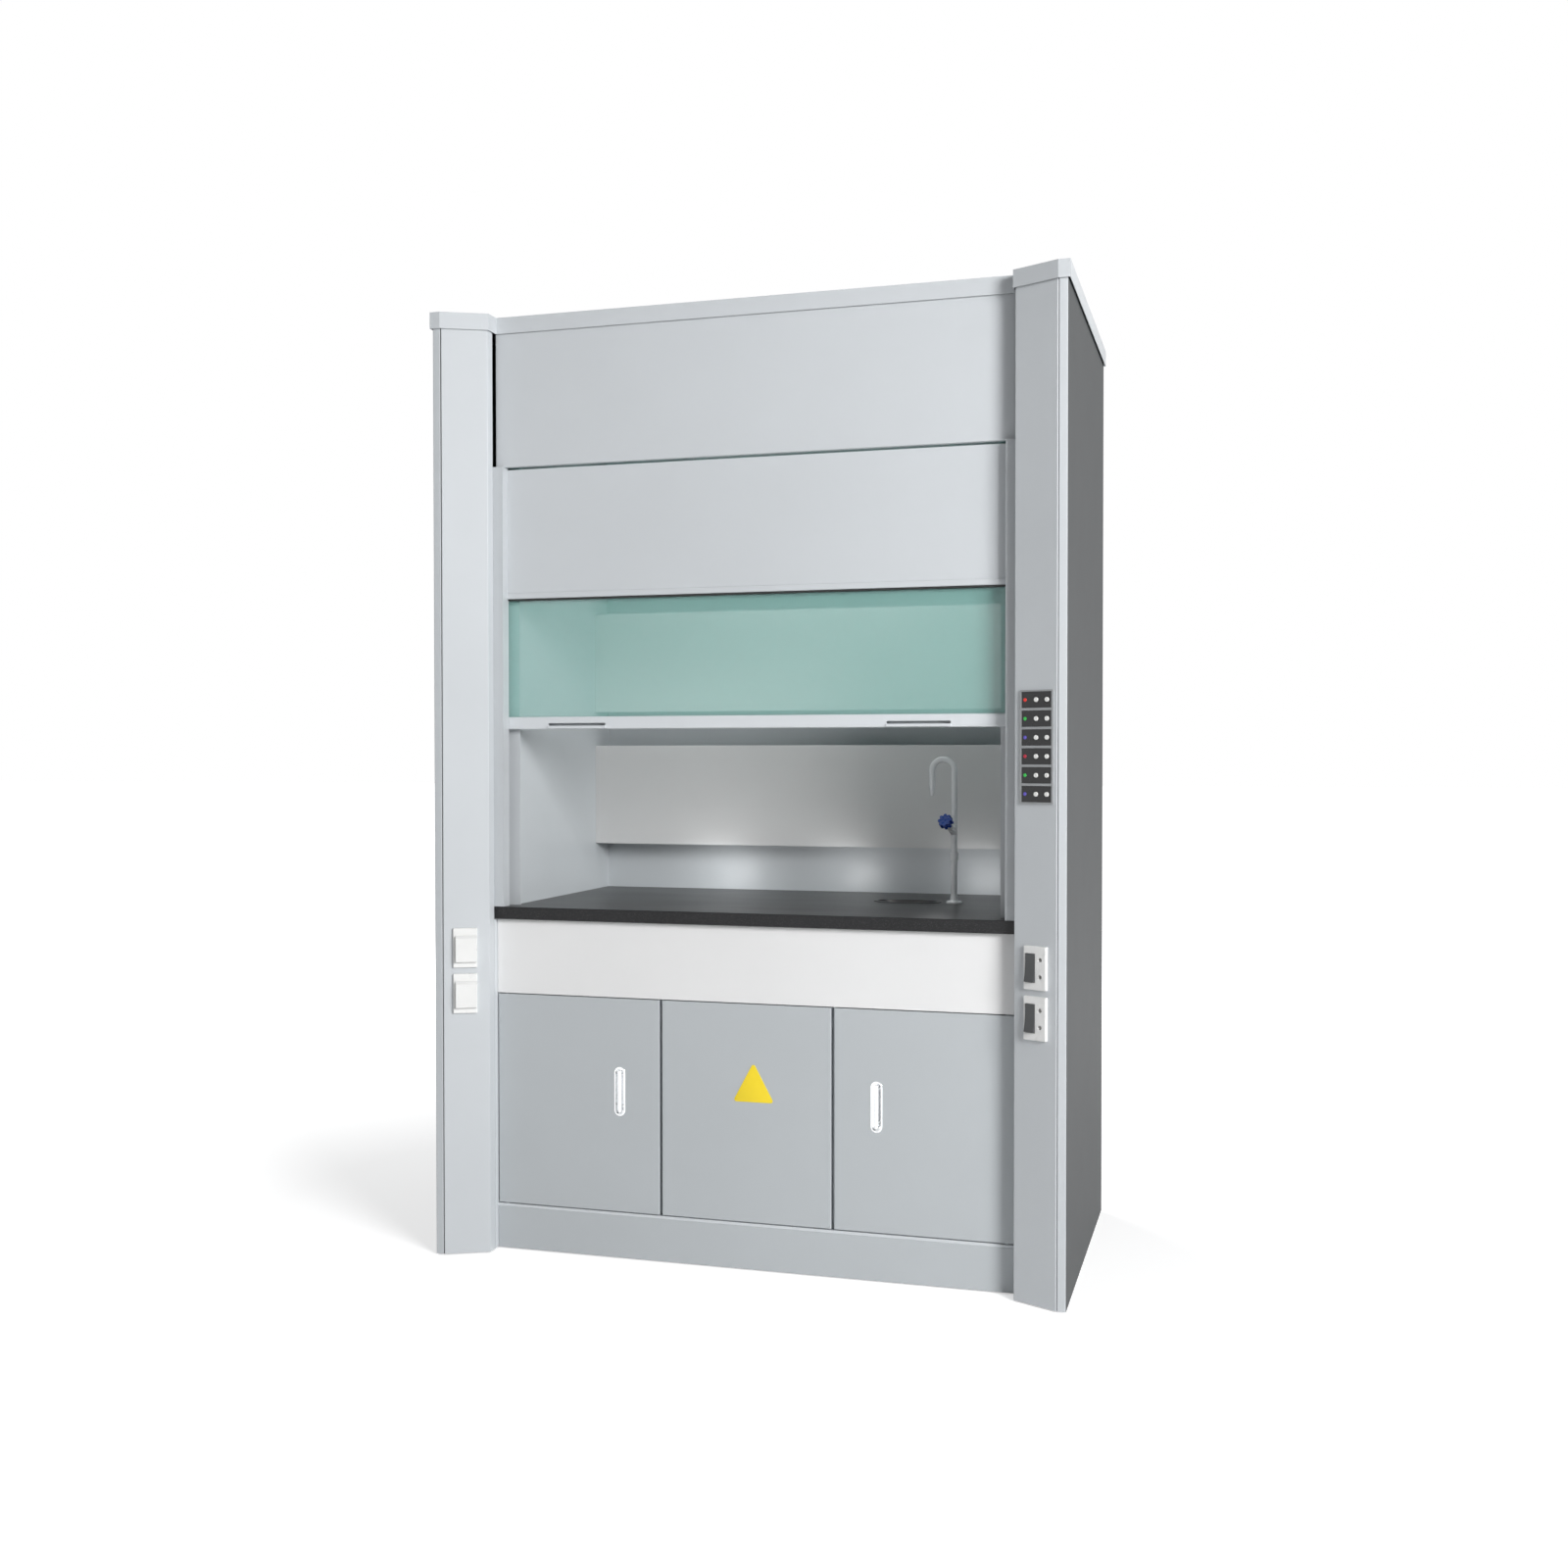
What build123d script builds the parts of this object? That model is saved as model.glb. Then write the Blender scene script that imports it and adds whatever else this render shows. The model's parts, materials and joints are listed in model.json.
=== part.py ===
"""Ducted chemical fume hood with a counterbalanced vertical sash, a cup sink, a gooseneck tap,
two socket columns and a push-button service panel, standing on a cupboard with two doors.

Units are millimetres. +Z is up, +X is to the right seen from the front, and the front faces -Y.
The origin is on the floor, under the middle of the roof cap's outline.
"""

import os
from math import atan2, cos, hypot, radians, sin, sqrt

from build123d import *

os.makedirs("parts", exist_ok=True)

# Casing
body_width = 1500.0  # over the two side panels
body_depth = 822.0  # from the side panels' front edges to the back
hood_height = 2252.0  # floor to the top of the roof cap
steel_sheet = 1.5
bend_radius = 2.5  # outside radius of the folded sheet
edge_radius = 2.0  # outside radius of the pressed pans
cap_overhang = 5.0
cap_skirt = 39.0
foot_gap = 3.0  # between the floor and the casing
side_panel_depth = 20.0
side_panel_hem = 18.0
post_width = 99.5  # each, seen from the front
post_setback = 48.0  # from the side panels' front to the posts' inner corners
post_flange = 30.0
face_setback = 90.0  # from the side panels' front to the doors, apron and fascia
seat_gap = 0.3  # between pieces that only rest beside each other
running_gap = 0.05  # radial, between a shaft and its bore
headroom = 215.5  # from the chamber's ceiling to the roof, for the raised sash and its pulleys
service_space = 92.0  # behind the chamber, for the counterweight

# Exhaust collar
collar_diameter = 250.0
collar_wall = 2.0
collar_shoulder = 2.0  # the tube is this much thicker up to the roof
collar_height = 80.0  # above the roof
collar_flange = 25.0
collar_flange_thickness = 4.0
collar_setback = 571.0  # from the front of the casing to the collar's axis

# Fascia and lintel
fascia_height = 357.5
bypass_slot = 5.5  # open slot under the fascia
lintel_height = 311.0
lintel_recess = 10.0  # behind the fascia's face
lintel_depth = 7.0
lintel_nose = 14.5
lintel_nose_proud = 3.0
lintel_nose_radius = 2.4

# Sash tracks
track_box_width = 24.5
track_box_depth = 31.5
track_proud = 14.5  # in front of the doors' plane
track_wall = 2.5
track_slot = 22.0
track_lip = 3.0
track_lip_reach = 18.5  # the rear lip reaches this much further in than the front box
track_flange = 24.5
track_gap = 4.0  # under the pulleys

# Working chamber
liner_thickness = 6.0
liner_inset = 5.0  # the liner's face inside the tracks' front boxes
baffle_count = 3
baffle_bottom = 125.0  # above the worktop
baffle_top_gap = 93.0  # under the ceiling
baffle_slot = 91.8
baffle_standoff = 84.0
standoff_diameter = 16.0
standoff_x = 450.0
standoff_inset = 50.0
lamp_length = 880.0
lamp_width = 120.0
lamp_height = 60.0
lamp_rim = 20.0
lamp_setback = 261.0
lamp_taper = 12.0  # degrees

# Worktop and cup sink
worktop_top = 834.0
worktop_thickness = 30.0
worktop_nosing = 2.5  # in front of the sash tracks
worktop_ledge = 11.0  # behind the chamber's rear wall
worktop_radius = 2.5
sink_x = 304.0
sink_setback = 472.0
sink_length = 152.0
sink_width = 76.0
sink_rim = 10.0
sink_rim_height = 2.0
sink_rim_taper = 30.0  # degrees
sink_wall = 3.0
sink_depth = 150.0
sink_foot_length = 60.0
sink_foot_width = 48.0
waste_diameter = 40.0
waste_length = 45.0
waste_bore = 32.0
waste_bar = 3.5  # bars of the grid over the waste

# Gooseneck tap, heights above the worktop
tap_x = 421.5
tap_setback = 468.0
tap_tube = 15.4
tap_reach = 55.4  # riser axis to spout axis
tap_flange = 40.0
tap_flange_thickness = 6.0
tap_cone_top = 23.0
tap_union_diameter = 21.0
tap_union_bottom = 105.0
tap_union_top = 126.0
tap_union_depth = 15.0
tap_arch_centre = 327.0
tap_nozzle_top = 291.0
tap_nozzle_tip = 264.5
tap_tip_diameter = 7.6
tap_tip_bore = 5.0
tap_barb_count = 4
tap_barb_rise = 1.0
tap_valve_height = 173.0
valve_side = -12.3  # from the riser's axis to the middle of the knob
valve_forward = -48.0
valve_up = 30.0
valve_boss_diameter = 17.0
valve_boss_length = 22.0
bonnet_width = 15.0
bonnet_length = 16.0
stem_diameter = 7.0
knob_diameter = 36.0
knob_thickness = 17.0
knob_lobes = 8
knob_lobe_radius = 4.2
knob_root_radius = 1.5
knob_edge_radius = 1.5
knob_web = 4.0  # in front of the stem's end
shank_diameter = 20.9
shank_length = 80.0
shank_nut_width = 30.0
shank_nut_height = 8.0

# Sash, as it stands half open
sash_open = 428.0  # opening under the sash
sash_raise = 200.0  # further travel up
sash_closed_gap = 1.0
sash_overlap = 21.5  # behind the lintel when it is closed
glass_thickness = 6.0
glass_overlap = 10.0  # into each track
glass_groove_gap = 0.1
rail_height = 30.0
rail_depth = 20.0
rail_wall = 2.5
rail_radius = 3.0
glass_seat = 10.0
left_grip_x = -428.5
right_grip_x = 405.0
grip_length = 148.0
grip_slot = 6.5
grip_above_bottom = 8.0
grip_lip = 4.0
grip_lip_height = 6.0
rail_cap = 1.5
clamp_length = 8.0
clamp_width = 8.0
clamp_height = 20.0
clamp_drop = 2.0  # under the rail's top

# Counterbalance
cable_diameter = 3.0
cable_inset = 6.0  # outside the glass's edge
cable_gap = 0.3
groove_gap = 0.2
groove_flare = 1.0
pulley_radius = 28.0  # to the middle of the cable
pulley_rim = 3.0
pulley_width = 8.0
pulley_web = 4.0
pulley_rim_depth = 8.0
pulley_hub = 22.0
pulley_hole = 9.0
pulley_holes = 5
shaft_diameter = 12.0
shaft_drop = 45.5  # under the roof
shaft_end = 3.0  # past its bracket
bracket_thickness = 3.0
bracket_height = 125.0
bracket_foot = 80.0
bracket_nose = 40.0
bracket_boss = 24.0
bracket_boss_length = 6.0
weight_thickness = 20.0
weight_top_gap = 27.0  # under the pulleys when the sash is shut
weight_slack = 1.5
weight_end_gap = 2.0
weight_boss_diameter = 9.0
weight_boss_height = 6.0
guide_reach = 31.5
guide_web_outset = 11.5  # outside the posts' inner corners
guide_overrun = 46.0
steel_density = 7850e-9
glass_density = 2500e-9
aluminium_density = 2700e-9

# Cupboard
apron_height = 180.0
panel_thickness = 18.0
centre_panel_width = 411.0
joint_gap = 7.5
door_gap = 2.5
door_hem = 20.0
door_stop = 6.0  # a partition's flange behind each door's free edge
plinth_top = 104.0
floor_lip = 6.5
partition_flange = 20.0
carcass_flange = 25.0
service_length = 220.0
service_width = 120.0
pivot_inset = 19.5
pivot_diameter = 6.0
pivot_length = 17.5
pivot_washer = 10.0
pivot_block_width = 30.0
pivot_block_height = 30.0
rail_plate_depth = 57.4
base_rail_width = 40.0
base_rail_height = 17.0
base_rail_sheet = 3.0
foot_x = 590.0
foot_inset = 40.0
front_foot_setback = 51.0
foot_diameter = 40.0
foot_pad = 8.0
foot_stem = 10.0
foot_stem_length = 55.0
foot_stem_gap = 0.5
foot_nut_width = 17.0
foot_nut_height = 8.0
base_rail_bottom = 40.0

# Door handles
handle_inset = 99.5  # from the door's free edge
handle_height = 400.0  # its middle above the floor
handle_length = 113.0
handle_width = 24.0
handle_rim = 2.0
handle_rim_height = 1.0
handle_cup_depth = 15.0
handle_wall = 1.5
handle_bar_width = 8.7
handle_bar_length = 102.0
handle_bar_thickness = 5.0
handle_bar_proud = 2.0
handle_bar_radius = 1.8
handle_post_diameter = 6.0
handle_post_spread = 76.0

# Service panel on the right post, distances along the slanted face from its inner corner
panel_along = 57.6
panel_middle = 1216.5
panel_width = 85.0
module_count = 6
module_pitch = 40.8
module_width = 76.0
module_height = 35.5
module_depth = 22.0
module_gap = 0.25
bezel_margin = 3.5
bezel_thickness = 3.0
bezel_radius = 2.5
module_recess = 0.6
lens_along = -29.1
start_along = -0.9
stop_along = 26.4
button_diameter = 10.0
button_proud = 2.0
button_length = 8.0
button_travel = 1.5
button_gap = 0.2
button_radius = 0.6
button_ring = 15.0
button_ring_depth = 0.8
lens_diameter = 8.0
lens_proud = 1.5
lens_depth = 4.0
lens_radius = 1.2
lens_gap = 0.1

# Sockets, two on each post
socket_along = 57.5
socket_top_height = 738.3
socket_pitch = 109.3
plate_width = 57.0
plate_height = 95.0
plate_thickness = 8.0
plate_radius = 2.0
socket_box_width = 50.0
socket_box_height = 86.0
socket_box_depth = 25.0
cutout_gap = 0.3
outlet_diameter = 10.0
outlet_depth = 12.0
outlet_spread = 37.2
outlet_shift = 13.5
covered_outlet_diameter = 5.0
covered_outlet_spread = 19.0
covered_well_diameter = 39.0
covered_well_depth = 4.0
cover_width = 51.0
cover_height = 63.0
cover_top = 29.7  # above the plate's middle
cover_shift = 3.0  # towards the opening
cover_depth = 11.0
cover_wall = 2.0
cover_gap = 0.3
cover_barrel = 3.2
cover_radius = 1.5
hinge_pin = 3.0
knuckle_length = 12.0
knuckle_gap = 0.4
knuckle_foot = 1.2
cover_head = 4.5  # solid under the hinge axis
rocker_width = 24.0
rocker_length = 63.0
rocker_gap = 0.4
rocker_shift = -11.0
rocker_tilt = 5.0
rocker_end_rise = 8.5  # above the pivot
rocker_middle_rise = 6.0
rocker_base = 3.0  # under the pivot
rocker_pivot_depth = 4.0  # under the plate's face
rocker_pin = 4.0
rocker_pin_length = 2.0
rocker_well = 12.0

# Positions worked out from the sizes above
half_width = body_width / 2
front_y = -body_depth / 2
back_y = body_depth / 2
face_y = front_y + face_setback
casing_top = hood_height - steel_sheet
panel_inner_x = half_width - side_panel_depth
opening_x = panel_inner_x - post_width
post_corner_y = front_y + post_setback
track_front_y = face_y - track_proud
slot_front_y = track_front_y + track_box_depth
slot_back_y = slot_front_y + track_slot
sash_y = (slot_front_y + slot_back_y) / 2
box_inner_x = opening_x - track_box_width
liner_x = box_inner_x - liner_inset
liner_front_y = slot_back_y + track_lip
liner_back_y = back_y - service_space - liner_thickness
chamber_end_x = liner_x + liner_thickness
chamber_end_y = liner_back_y + liner_thickness
ceiling_z = casing_top - headroom
fascia_bottom = casing_top - fascia_height
lintel_top = fascia_bottom - bypass_slot
lintel_bottom = lintel_top - lintel_height
worktop_bottom = worktop_top - worktop_thickness
worktop_front_y = track_front_y - worktop_nosing
worktop_back_y = chamber_end_y + worktop_ledge
panel_half = opening_x - seat_gap
collar_y = front_y + collar_setback
lamp_y = front_y + lamp_setback
sink_y = front_y + sink_setback
tap_y = front_y + tap_setback
apron_bottom = worktop_bottom - apron_height
floor_top = plinth_top + floor_lip
door_bottom = floor_top + door_gap
door_top = apron_bottom - door_gap
door_inner_x = centre_panel_width / 2 + joint_gap
door_outer_x = opening_x - door_gap
glass_x = box_inner_x + glass_overlap
cable_x = glass_x + cable_inset
shaft_z = casing_top - shaft_drop
pulley_edge = pulley_radius + pulley_rim
track_top = shaft_z - pulley_edge - track_gap
sash_bottom = worktop_top + sash_open
rail_top = sash_bottom + rail_height
sash_top = sash_bottom + lintel_bottom + sash_overlap - worktop_top - sash_closed_gap
front_shaft_y = sash_y + pulley_radius
weight_y = back_y - 2 * steel_sheet - weight_slack - weight_thickness / 2
rear_shaft_y = weight_y - pulley_radius
weight_top = shaft_z - pulley_edge - weight_top_gap - sash_open + sash_closed_gap


def save(piece, name):
    """Label a finished piece and write its STEP file."""
    piece.part.label = name
    export_step(piece.part, f"parts/{name}.step")


def folded_section(points, side):
    """Cross-section of a sheet folded along the points, with its thickness on one side."""
    with BuildSketch() as section:
        with BuildLine():
            FilletPolyline(*points, radius=bend_radius)
            offset(amount=steel_sheet, side=side)
        make_face()
    return section.sketch


def pan(x_low, x_high, z_low, z_high, depth):
    """Pressed sheet whose face lies in the doors' plane, with its edges turned back."""
    with BuildPart() as piece:
        with BuildSketch(Plane.XZ.offset(-face_y)):
            with Locations(((x_low + x_high) / 2, (z_low + z_high) / 2)):
                Rectangle(x_high - x_low, z_high - z_low)
        extrude(amount=-depth)
        fillet(piece.faces().sort_by(Axis.Y)[0].edges(), edge_radius)
        offset(amount=-steel_sheet, openings=piece.faces().sort_by(Axis.Y)[-1])
    return piece.part


def facing(piece, direction):
    """Flat faces of a piece whose normal points in a direction."""
    return piece.faces().filter_by(lambda face: face.normal_at().dot(direction) > 0.999)


def on_post(side, along, height, out=0.0):
    """Plane on a post's slanted face: local X to the right, local Y up, normal out of the post.

    Its origin lies at a distance along the face from the inner corner, at a height above the
    floor, and a distance out of the face.
    """
    slant = atan2(post_setback, post_width)
    face = Plane(
        origin=(side * opening_x, post_corner_y, 0),
        x_dir=(cos(slant), -side * sin(slant), 0),
        z_dir=(-side * sin(slant), -cos(slant), 0),
    )
    centre = face.from_local_coords(Vector(side * along, height, out))
    return Plane(origin=centre, x_dir=face.x_dir, z_dir=face.z_dir)


def sideways(plane, tilt=0.0):
    """Plane across a post's face: local X out of the post, local Y up, normal along the face.

    A tilt, in degrees, turns local X upwards about the same origin.
    """
    outward = plane.z_dir * cos(radians(tilt)) + plane.y_dir * sin(radians(tilt))
    return Plane(origin=plane.origin, x_dir=outward, z_dir=plane.x_dir * -1)


# Side panels: folded pans with hemmed front and back edges
with BuildPart() as right_side_panel:
    panel_path = [
        (panel_inner_x, front_y + side_panel_hem),
        (panel_inner_x, front_y),
        (half_width, front_y),
        (half_width, back_y),
        (panel_inner_x, back_y),
        (panel_inner_x, back_y - side_panel_hem),
    ]
    with BuildSketch(Plane.XY.offset(foot_gap)):
        add(folded_section(panel_path, Side.LEFT))
    extrude(amount=casing_top - foot_gap)
    with BuildSketch(Plane.XY.offset(foot_gap)):
        with Locations(((panel_inner_x + half_width) / 2, 0)):
            Rectangle(side_panel_depth - 2 * steel_sheet, body_depth - 2 * steel_sheet)
    extrude(amount=steel_sheet)
save(right_side_panel, "right_side_panel")

with BuildPart() as left_side_panel:
    mirror(right_side_panel.part, about=Plane.YZ)
save(left_side_panel, "left_side_panel")


# Posts: folded columns with a slanted face that carries the sockets and the service panel
module_span = (module_count - 1) * module_pitch + module_height
socket_heights = [socket_top_height, socket_top_height - socket_pitch]


def make_post(side, with_service_panel):
    """Folded post with cut-outs for the boxes behind its sockets and its service panel."""
    path = [
        (side * panel_inner_x, front_y + side_panel_hem),
        (side * panel_inner_x, front_y),
        (side * opening_x, post_corner_y),
        (side * opening_x, track_front_y),
        (side * (opening_x + post_flange), track_front_y),
    ]
    with BuildPart() as piece:
        with BuildSketch(Plane.XY.offset(foot_gap)):
            add(folded_section(path, Side.RIGHT if side > 0 else Side.LEFT))
        extrude(amount=casing_top - foot_gap)
        for height in socket_heights:
            with BuildSketch(on_post(side, socket_along, height)):
                Rectangle(socket_box_width + 2 * cutout_gap, socket_box_height + 2 * cutout_gap)
            extrude(amount=2 * steel_sheet, both=True, mode=Mode.SUBTRACT)
        if with_service_panel:
            with BuildSketch(on_post(side, panel_along, panel_middle)):
                Rectangle(module_width, module_span)
            extrude(amount=2 * steel_sheet, both=True, mode=Mode.SUBTRACT)
    return piece


right_post = make_post(1, True)
save(right_post, "right_post")
left_post = make_post(-1, False)
save(left_post, "left_post")


# Back panel
with BuildPart() as back_panel:
    with BuildSketch(Plane.XZ.offset(-back_y)):
        with Locations((0, (foot_gap + casing_top) / 2)):
            Rectangle(2 * (panel_inner_x - seat_gap), casing_top - foot_gap)
    extrude(amount=side_panel_depth)
    offset(amount=-steel_sheet, openings=back_panel.faces().sort_by(Axis.Y)[0])
save(back_panel, "back_panel")


# Roof cap: its skirt follows the posts and the recessed front, a little proud all round
with BuildSketch() as casing_outline:
    with BuildLine():
        right_edge = [
            (opening_x, face_y),
            (opening_x, post_corner_y),
            (panel_inner_x, front_y),
            (half_width, front_y),
            (half_width, back_y),
        ]
        left_edge = [(-x, y) for x, y in reversed(right_edge)]
        Polyline(*right_edge, *left_edge, close=True)
    make_face()

with BuildPart() as roof_cap:
    with BuildSketch(Plane.XY.offset(hood_height - cap_skirt)):
        add(casing_outline.sketch)
        offset(amount=cap_overhang, kind=Kind.INTERSECTION)
    extrude(amount=cap_skirt)
    with BuildSketch(Plane.XY.offset(hood_height - cap_skirt)):
        add(casing_outline.sketch)
        offset(amount=cap_overhang - steel_sheet, kind=Kind.INTERSECTION)
    extrude(amount=cap_skirt - steel_sheet, mode=Mode.SUBTRACT)
    with BuildSketch(Plane.XY.offset(casing_top)):
        with Locations((0, collar_y)):
            Circle(collar_diameter / 2 + collar_shoulder + seat_gap)
    extrude(amount=steel_sheet, mode=Mode.SUBTRACT)
save(roof_cap, "roof_cap")


# Exhaust collar: a tube from the chamber's ceiling through the roof, with a narrower end for a
# duct to slide over
duct_bottom = ceiling_z + liner_thickness
with BuildPart() as exhaust_collar:
    with BuildSketch(Plane.XY.offset(duct_bottom)):
        with Locations((0, collar_y)):
            Circle(collar_diameter / 2 + collar_flange)
    extrude(amount=collar_flange_thickness)
    with BuildSketch(Plane.XY.offset(duct_bottom)):
        with Locations((0, collar_y)):
            Circle(collar_diameter / 2 + collar_shoulder)
    extrude(amount=hood_height - duct_bottom)
    with BuildSketch(Plane.XY.offset(hood_height)):
        with Locations((0, collar_y)):
            Circle(collar_diameter / 2)
    extrude(amount=collar_height)
    with BuildSketch(Plane.XY.offset(duct_bottom)):
        with Locations((0, collar_y)):
            Circle(collar_diameter / 2 - collar_wall)
    extrude(amount=hood_height + collar_height - duct_bottom, mode=Mode.SUBTRACT)
save(exhaust_collar, "exhaust_collar")


# Front fascia above the bypass slot, back to the sash tracks
slot_wall_y = slot_front_y - track_wall
with BuildPart() as front_fascia:
    fascia_depth = slot_wall_y - seat_gap - face_y
    add(pan(-panel_half, panel_half, fascia_bottom, casing_top, fascia_depth))
save(front_fascia, "front_fascia")


# Lintel panel behind the fascia's plane, with a proud nose along its bottom edge
lintel_y = face_y + lintel_recess
with BuildPart() as lintel_panel:
    with BuildSketch(Plane.XZ.offset(-lintel_y)):
        with Locations((0, (lintel_bottom + lintel_top) / 2)):
            Rectangle(2 * box_inner_x, lintel_height)
    extrude(amount=-lintel_depth)
    offset(amount=-steel_sheet, openings=lintel_panel.faces().sort_by(Axis.Y)[-1])
    with BuildSketch(Plane.XZ.offset(-lintel_y)):
        with Locations((0, lintel_bottom + lintel_nose / 2)):
            Rectangle(2 * box_inner_x, lintel_nose)
    extrude(amount=lintel_nose_proud)
    nose_edges = lintel_panel.faces().sort_by(Axis.Y)[0].edges().filter_by(Axis.X)
    fillet(nose_edges, lintel_nose_radius)
save(lintel_panel, "lintel_panel")


# Sash tracks: a hollow front box, a slot for the sash and its cable, and a rear lip.
# Behind the fascia only the slot's own walls go on, up to the pulleys.
with BuildPart() as right_sash_track:
    web_x = opening_x - track_wall
    flange_x = opening_x + track_flange
    with BuildSketch(Plane.XY.offset(worktop_top)):
        with BuildLine():
            Polyline(
                (box_inner_x, track_front_y),
                (flange_x, track_front_y),
                (flange_x, track_front_y + track_wall),
                (opening_x, track_front_y + track_wall),
                (opening_x, liner_front_y),
                (box_inner_x - track_lip_reach, liner_front_y),
                (box_inner_x - track_lip_reach, slot_back_y),
                (web_x, slot_back_y),
                (web_x, slot_front_y),
                (box_inner_x, slot_front_y),
                close=True,
            )
        make_face()
        with Locations(((box_inner_x + opening_x) / 2, (track_front_y + slot_front_y) / 2)):
            Rectangle(
                track_box_width - 2 * track_wall,
                track_box_depth - 2 * track_wall,
                mode=Mode.SUBTRACT,
            )
    extrude(amount=track_top - worktop_top)
    with BuildSketch(Plane.XY.offset(fascia_bottom - seat_gap)):
        with Locations(((box_inner_x + flange_x) / 2, (track_front_y + slot_wall_y) / 2)):
            Rectangle(flange_x - box_inner_x, slot_wall_y - track_front_y)
    extrude(amount=track_top - fascia_bottom + seat_gap, mode=Mode.SUBTRACT)
save(right_sash_track, "right_sash_track")

with BuildPart() as left_sash_track:
    mirror(right_sash_track.part, about=Plane.YZ)
save(left_sash_track, "left_sash_track")


# Chamber liners and ceiling
with BuildPart() as right_liner:
    with BuildSketch(Plane.XY.offset(worktop_top)):
        with Locations((liner_x + liner_thickness / 2, (liner_front_y + liner_back_y) / 2)):
            Rectangle(liner_thickness, liner_back_y - liner_front_y)
    extrude(amount=ceiling_z - worktop_top)
save(right_liner, "right_liner")

with BuildPart() as left_liner:
    mirror(right_liner.part, about=Plane.YZ)
save(left_liner, "left_liner")

with BuildPart() as rear_liner:
    with BuildSketch(Plane.XY.offset(worktop_top)):
        with Locations((0, (liner_back_y + chamber_end_y) / 2)):
            Rectangle(2 * chamber_end_x, liner_thickness)
    extrude(amount=ceiling_z - worktop_top)
save(rear_liner, "rear_liner")

with BuildPart() as chamber_ceiling:
    with BuildSketch(Plane.XY.offset(ceiling_z)):
        with Locations((0, (liner_front_y + chamber_end_y) / 2)):
            Rectangle(2 * chamber_end_x, chamber_end_y - liner_front_y)
        with Locations((0, collar_y)):
            Circle(collar_diameter / 2 - collar_wall, mode=Mode.SUBTRACT)
        with Locations((0, lamp_y)):
            Rectangle(lamp_length, lamp_width, mode=Mode.SUBTRACT)
    extrude(amount=liner_thickness)
save(chamber_ceiling, "chamber_ceiling")


# Sealed lamp that stands on the ceiling and looks through its cut-out
with BuildPart() as chamber_lamp:
    with BuildSketch(Plane.XY.offset(ceiling_z)):
        with Locations((0, lamp_y)):
            Rectangle(lamp_length - 2 * seat_gap, lamp_width - 2 * seat_gap)
    extrude(amount=liner_thickness)
    with BuildSketch(Plane.XY.offset(ceiling_z + liner_thickness)):
        with Locations((0, lamp_y)):
            Rectangle(lamp_length + 2 * lamp_rim, lamp_width + 2 * lamp_rim)
    extrude(amount=steel_sheet)
    with BuildSketch(Plane.XY.offset(ceiling_z + liner_thickness + steel_sheet)):
        with Locations((0, lamp_y)):
            Rectangle(lamp_length, lamp_width)
    extrude(amount=lamp_height, taper=lamp_taper)
save(chamber_lamp, "chamber_lamp")


# Baffles in front of the rear liner, with an air slot under, between and over them
baffles_span = ceiling_z - baffle_top_gap - worktop_top - baffle_bottom
baffle_height = (baffles_span - (baffle_count - 1) * baffle_slot) / baffle_count
baffle_pitch = baffle_height + baffle_slot
baffle_bottoms = [worktop_top + baffle_bottom + i * baffle_pitch for i in range(baffle_count)]
with BuildPart() as baffle_panels:
    for bottom in baffle_bottoms:
        with BuildSketch(Plane.XZ.offset(baffle_standoff - liner_back_y)):
            with Locations((0, bottom + baffle_height / 2)):
                Rectangle(2 * (liner_x - seat_gap), baffle_height)
        extrude(amount=liner_thickness)
save(baffle_panels, "baffle_panels")

with BuildPart() as baffle_standoffs:
    for bottom in baffle_bottoms:
        heights = (bottom + standoff_inset, bottom + baffle_height - standoff_inset)
        with BuildSketch(Plane.XZ.offset(-liner_back_y)):
            with Locations([(x, z) for x in (-standoff_x, standoff_x) for z in heights]):
                Circle(standoff_diameter / 2)
        extrude(amount=baffle_standoff)
save(baffle_standoffs, "baffle_standoffs")


# Worktop with its sink cut-out and tap hole
with BuildPart() as worktop:
    with BuildSketch(Plane.XY.offset(worktop_bottom)):
        with Locations((0, (worktop_front_y + worktop_back_y) / 2)):
            Rectangle(2 * panel_half, worktop_back_y - worktop_front_y)
    extrude(amount=worktop_thickness)
    fillet(worktop.faces().sort_by(Axis.Y)[0].edges().filter_by(Axis.X), worktop_radius)
    cutout_wall = sink_wall + seat_gap
    with BuildSketch(Plane.XY.offset(worktop_bottom)):
        with Locations((sink_x, sink_y)):
            Ellipse(sink_length / 2 + cutout_wall, sink_width / 2 + cutout_wall)
        with Locations((tap_x, tap_y)):
            Circle(shank_diameter / 2 + seat_gap)
    extrude(amount=worktop_thickness, mode=Mode.SUBTRACT)
save(worktop, "worktop")


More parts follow.
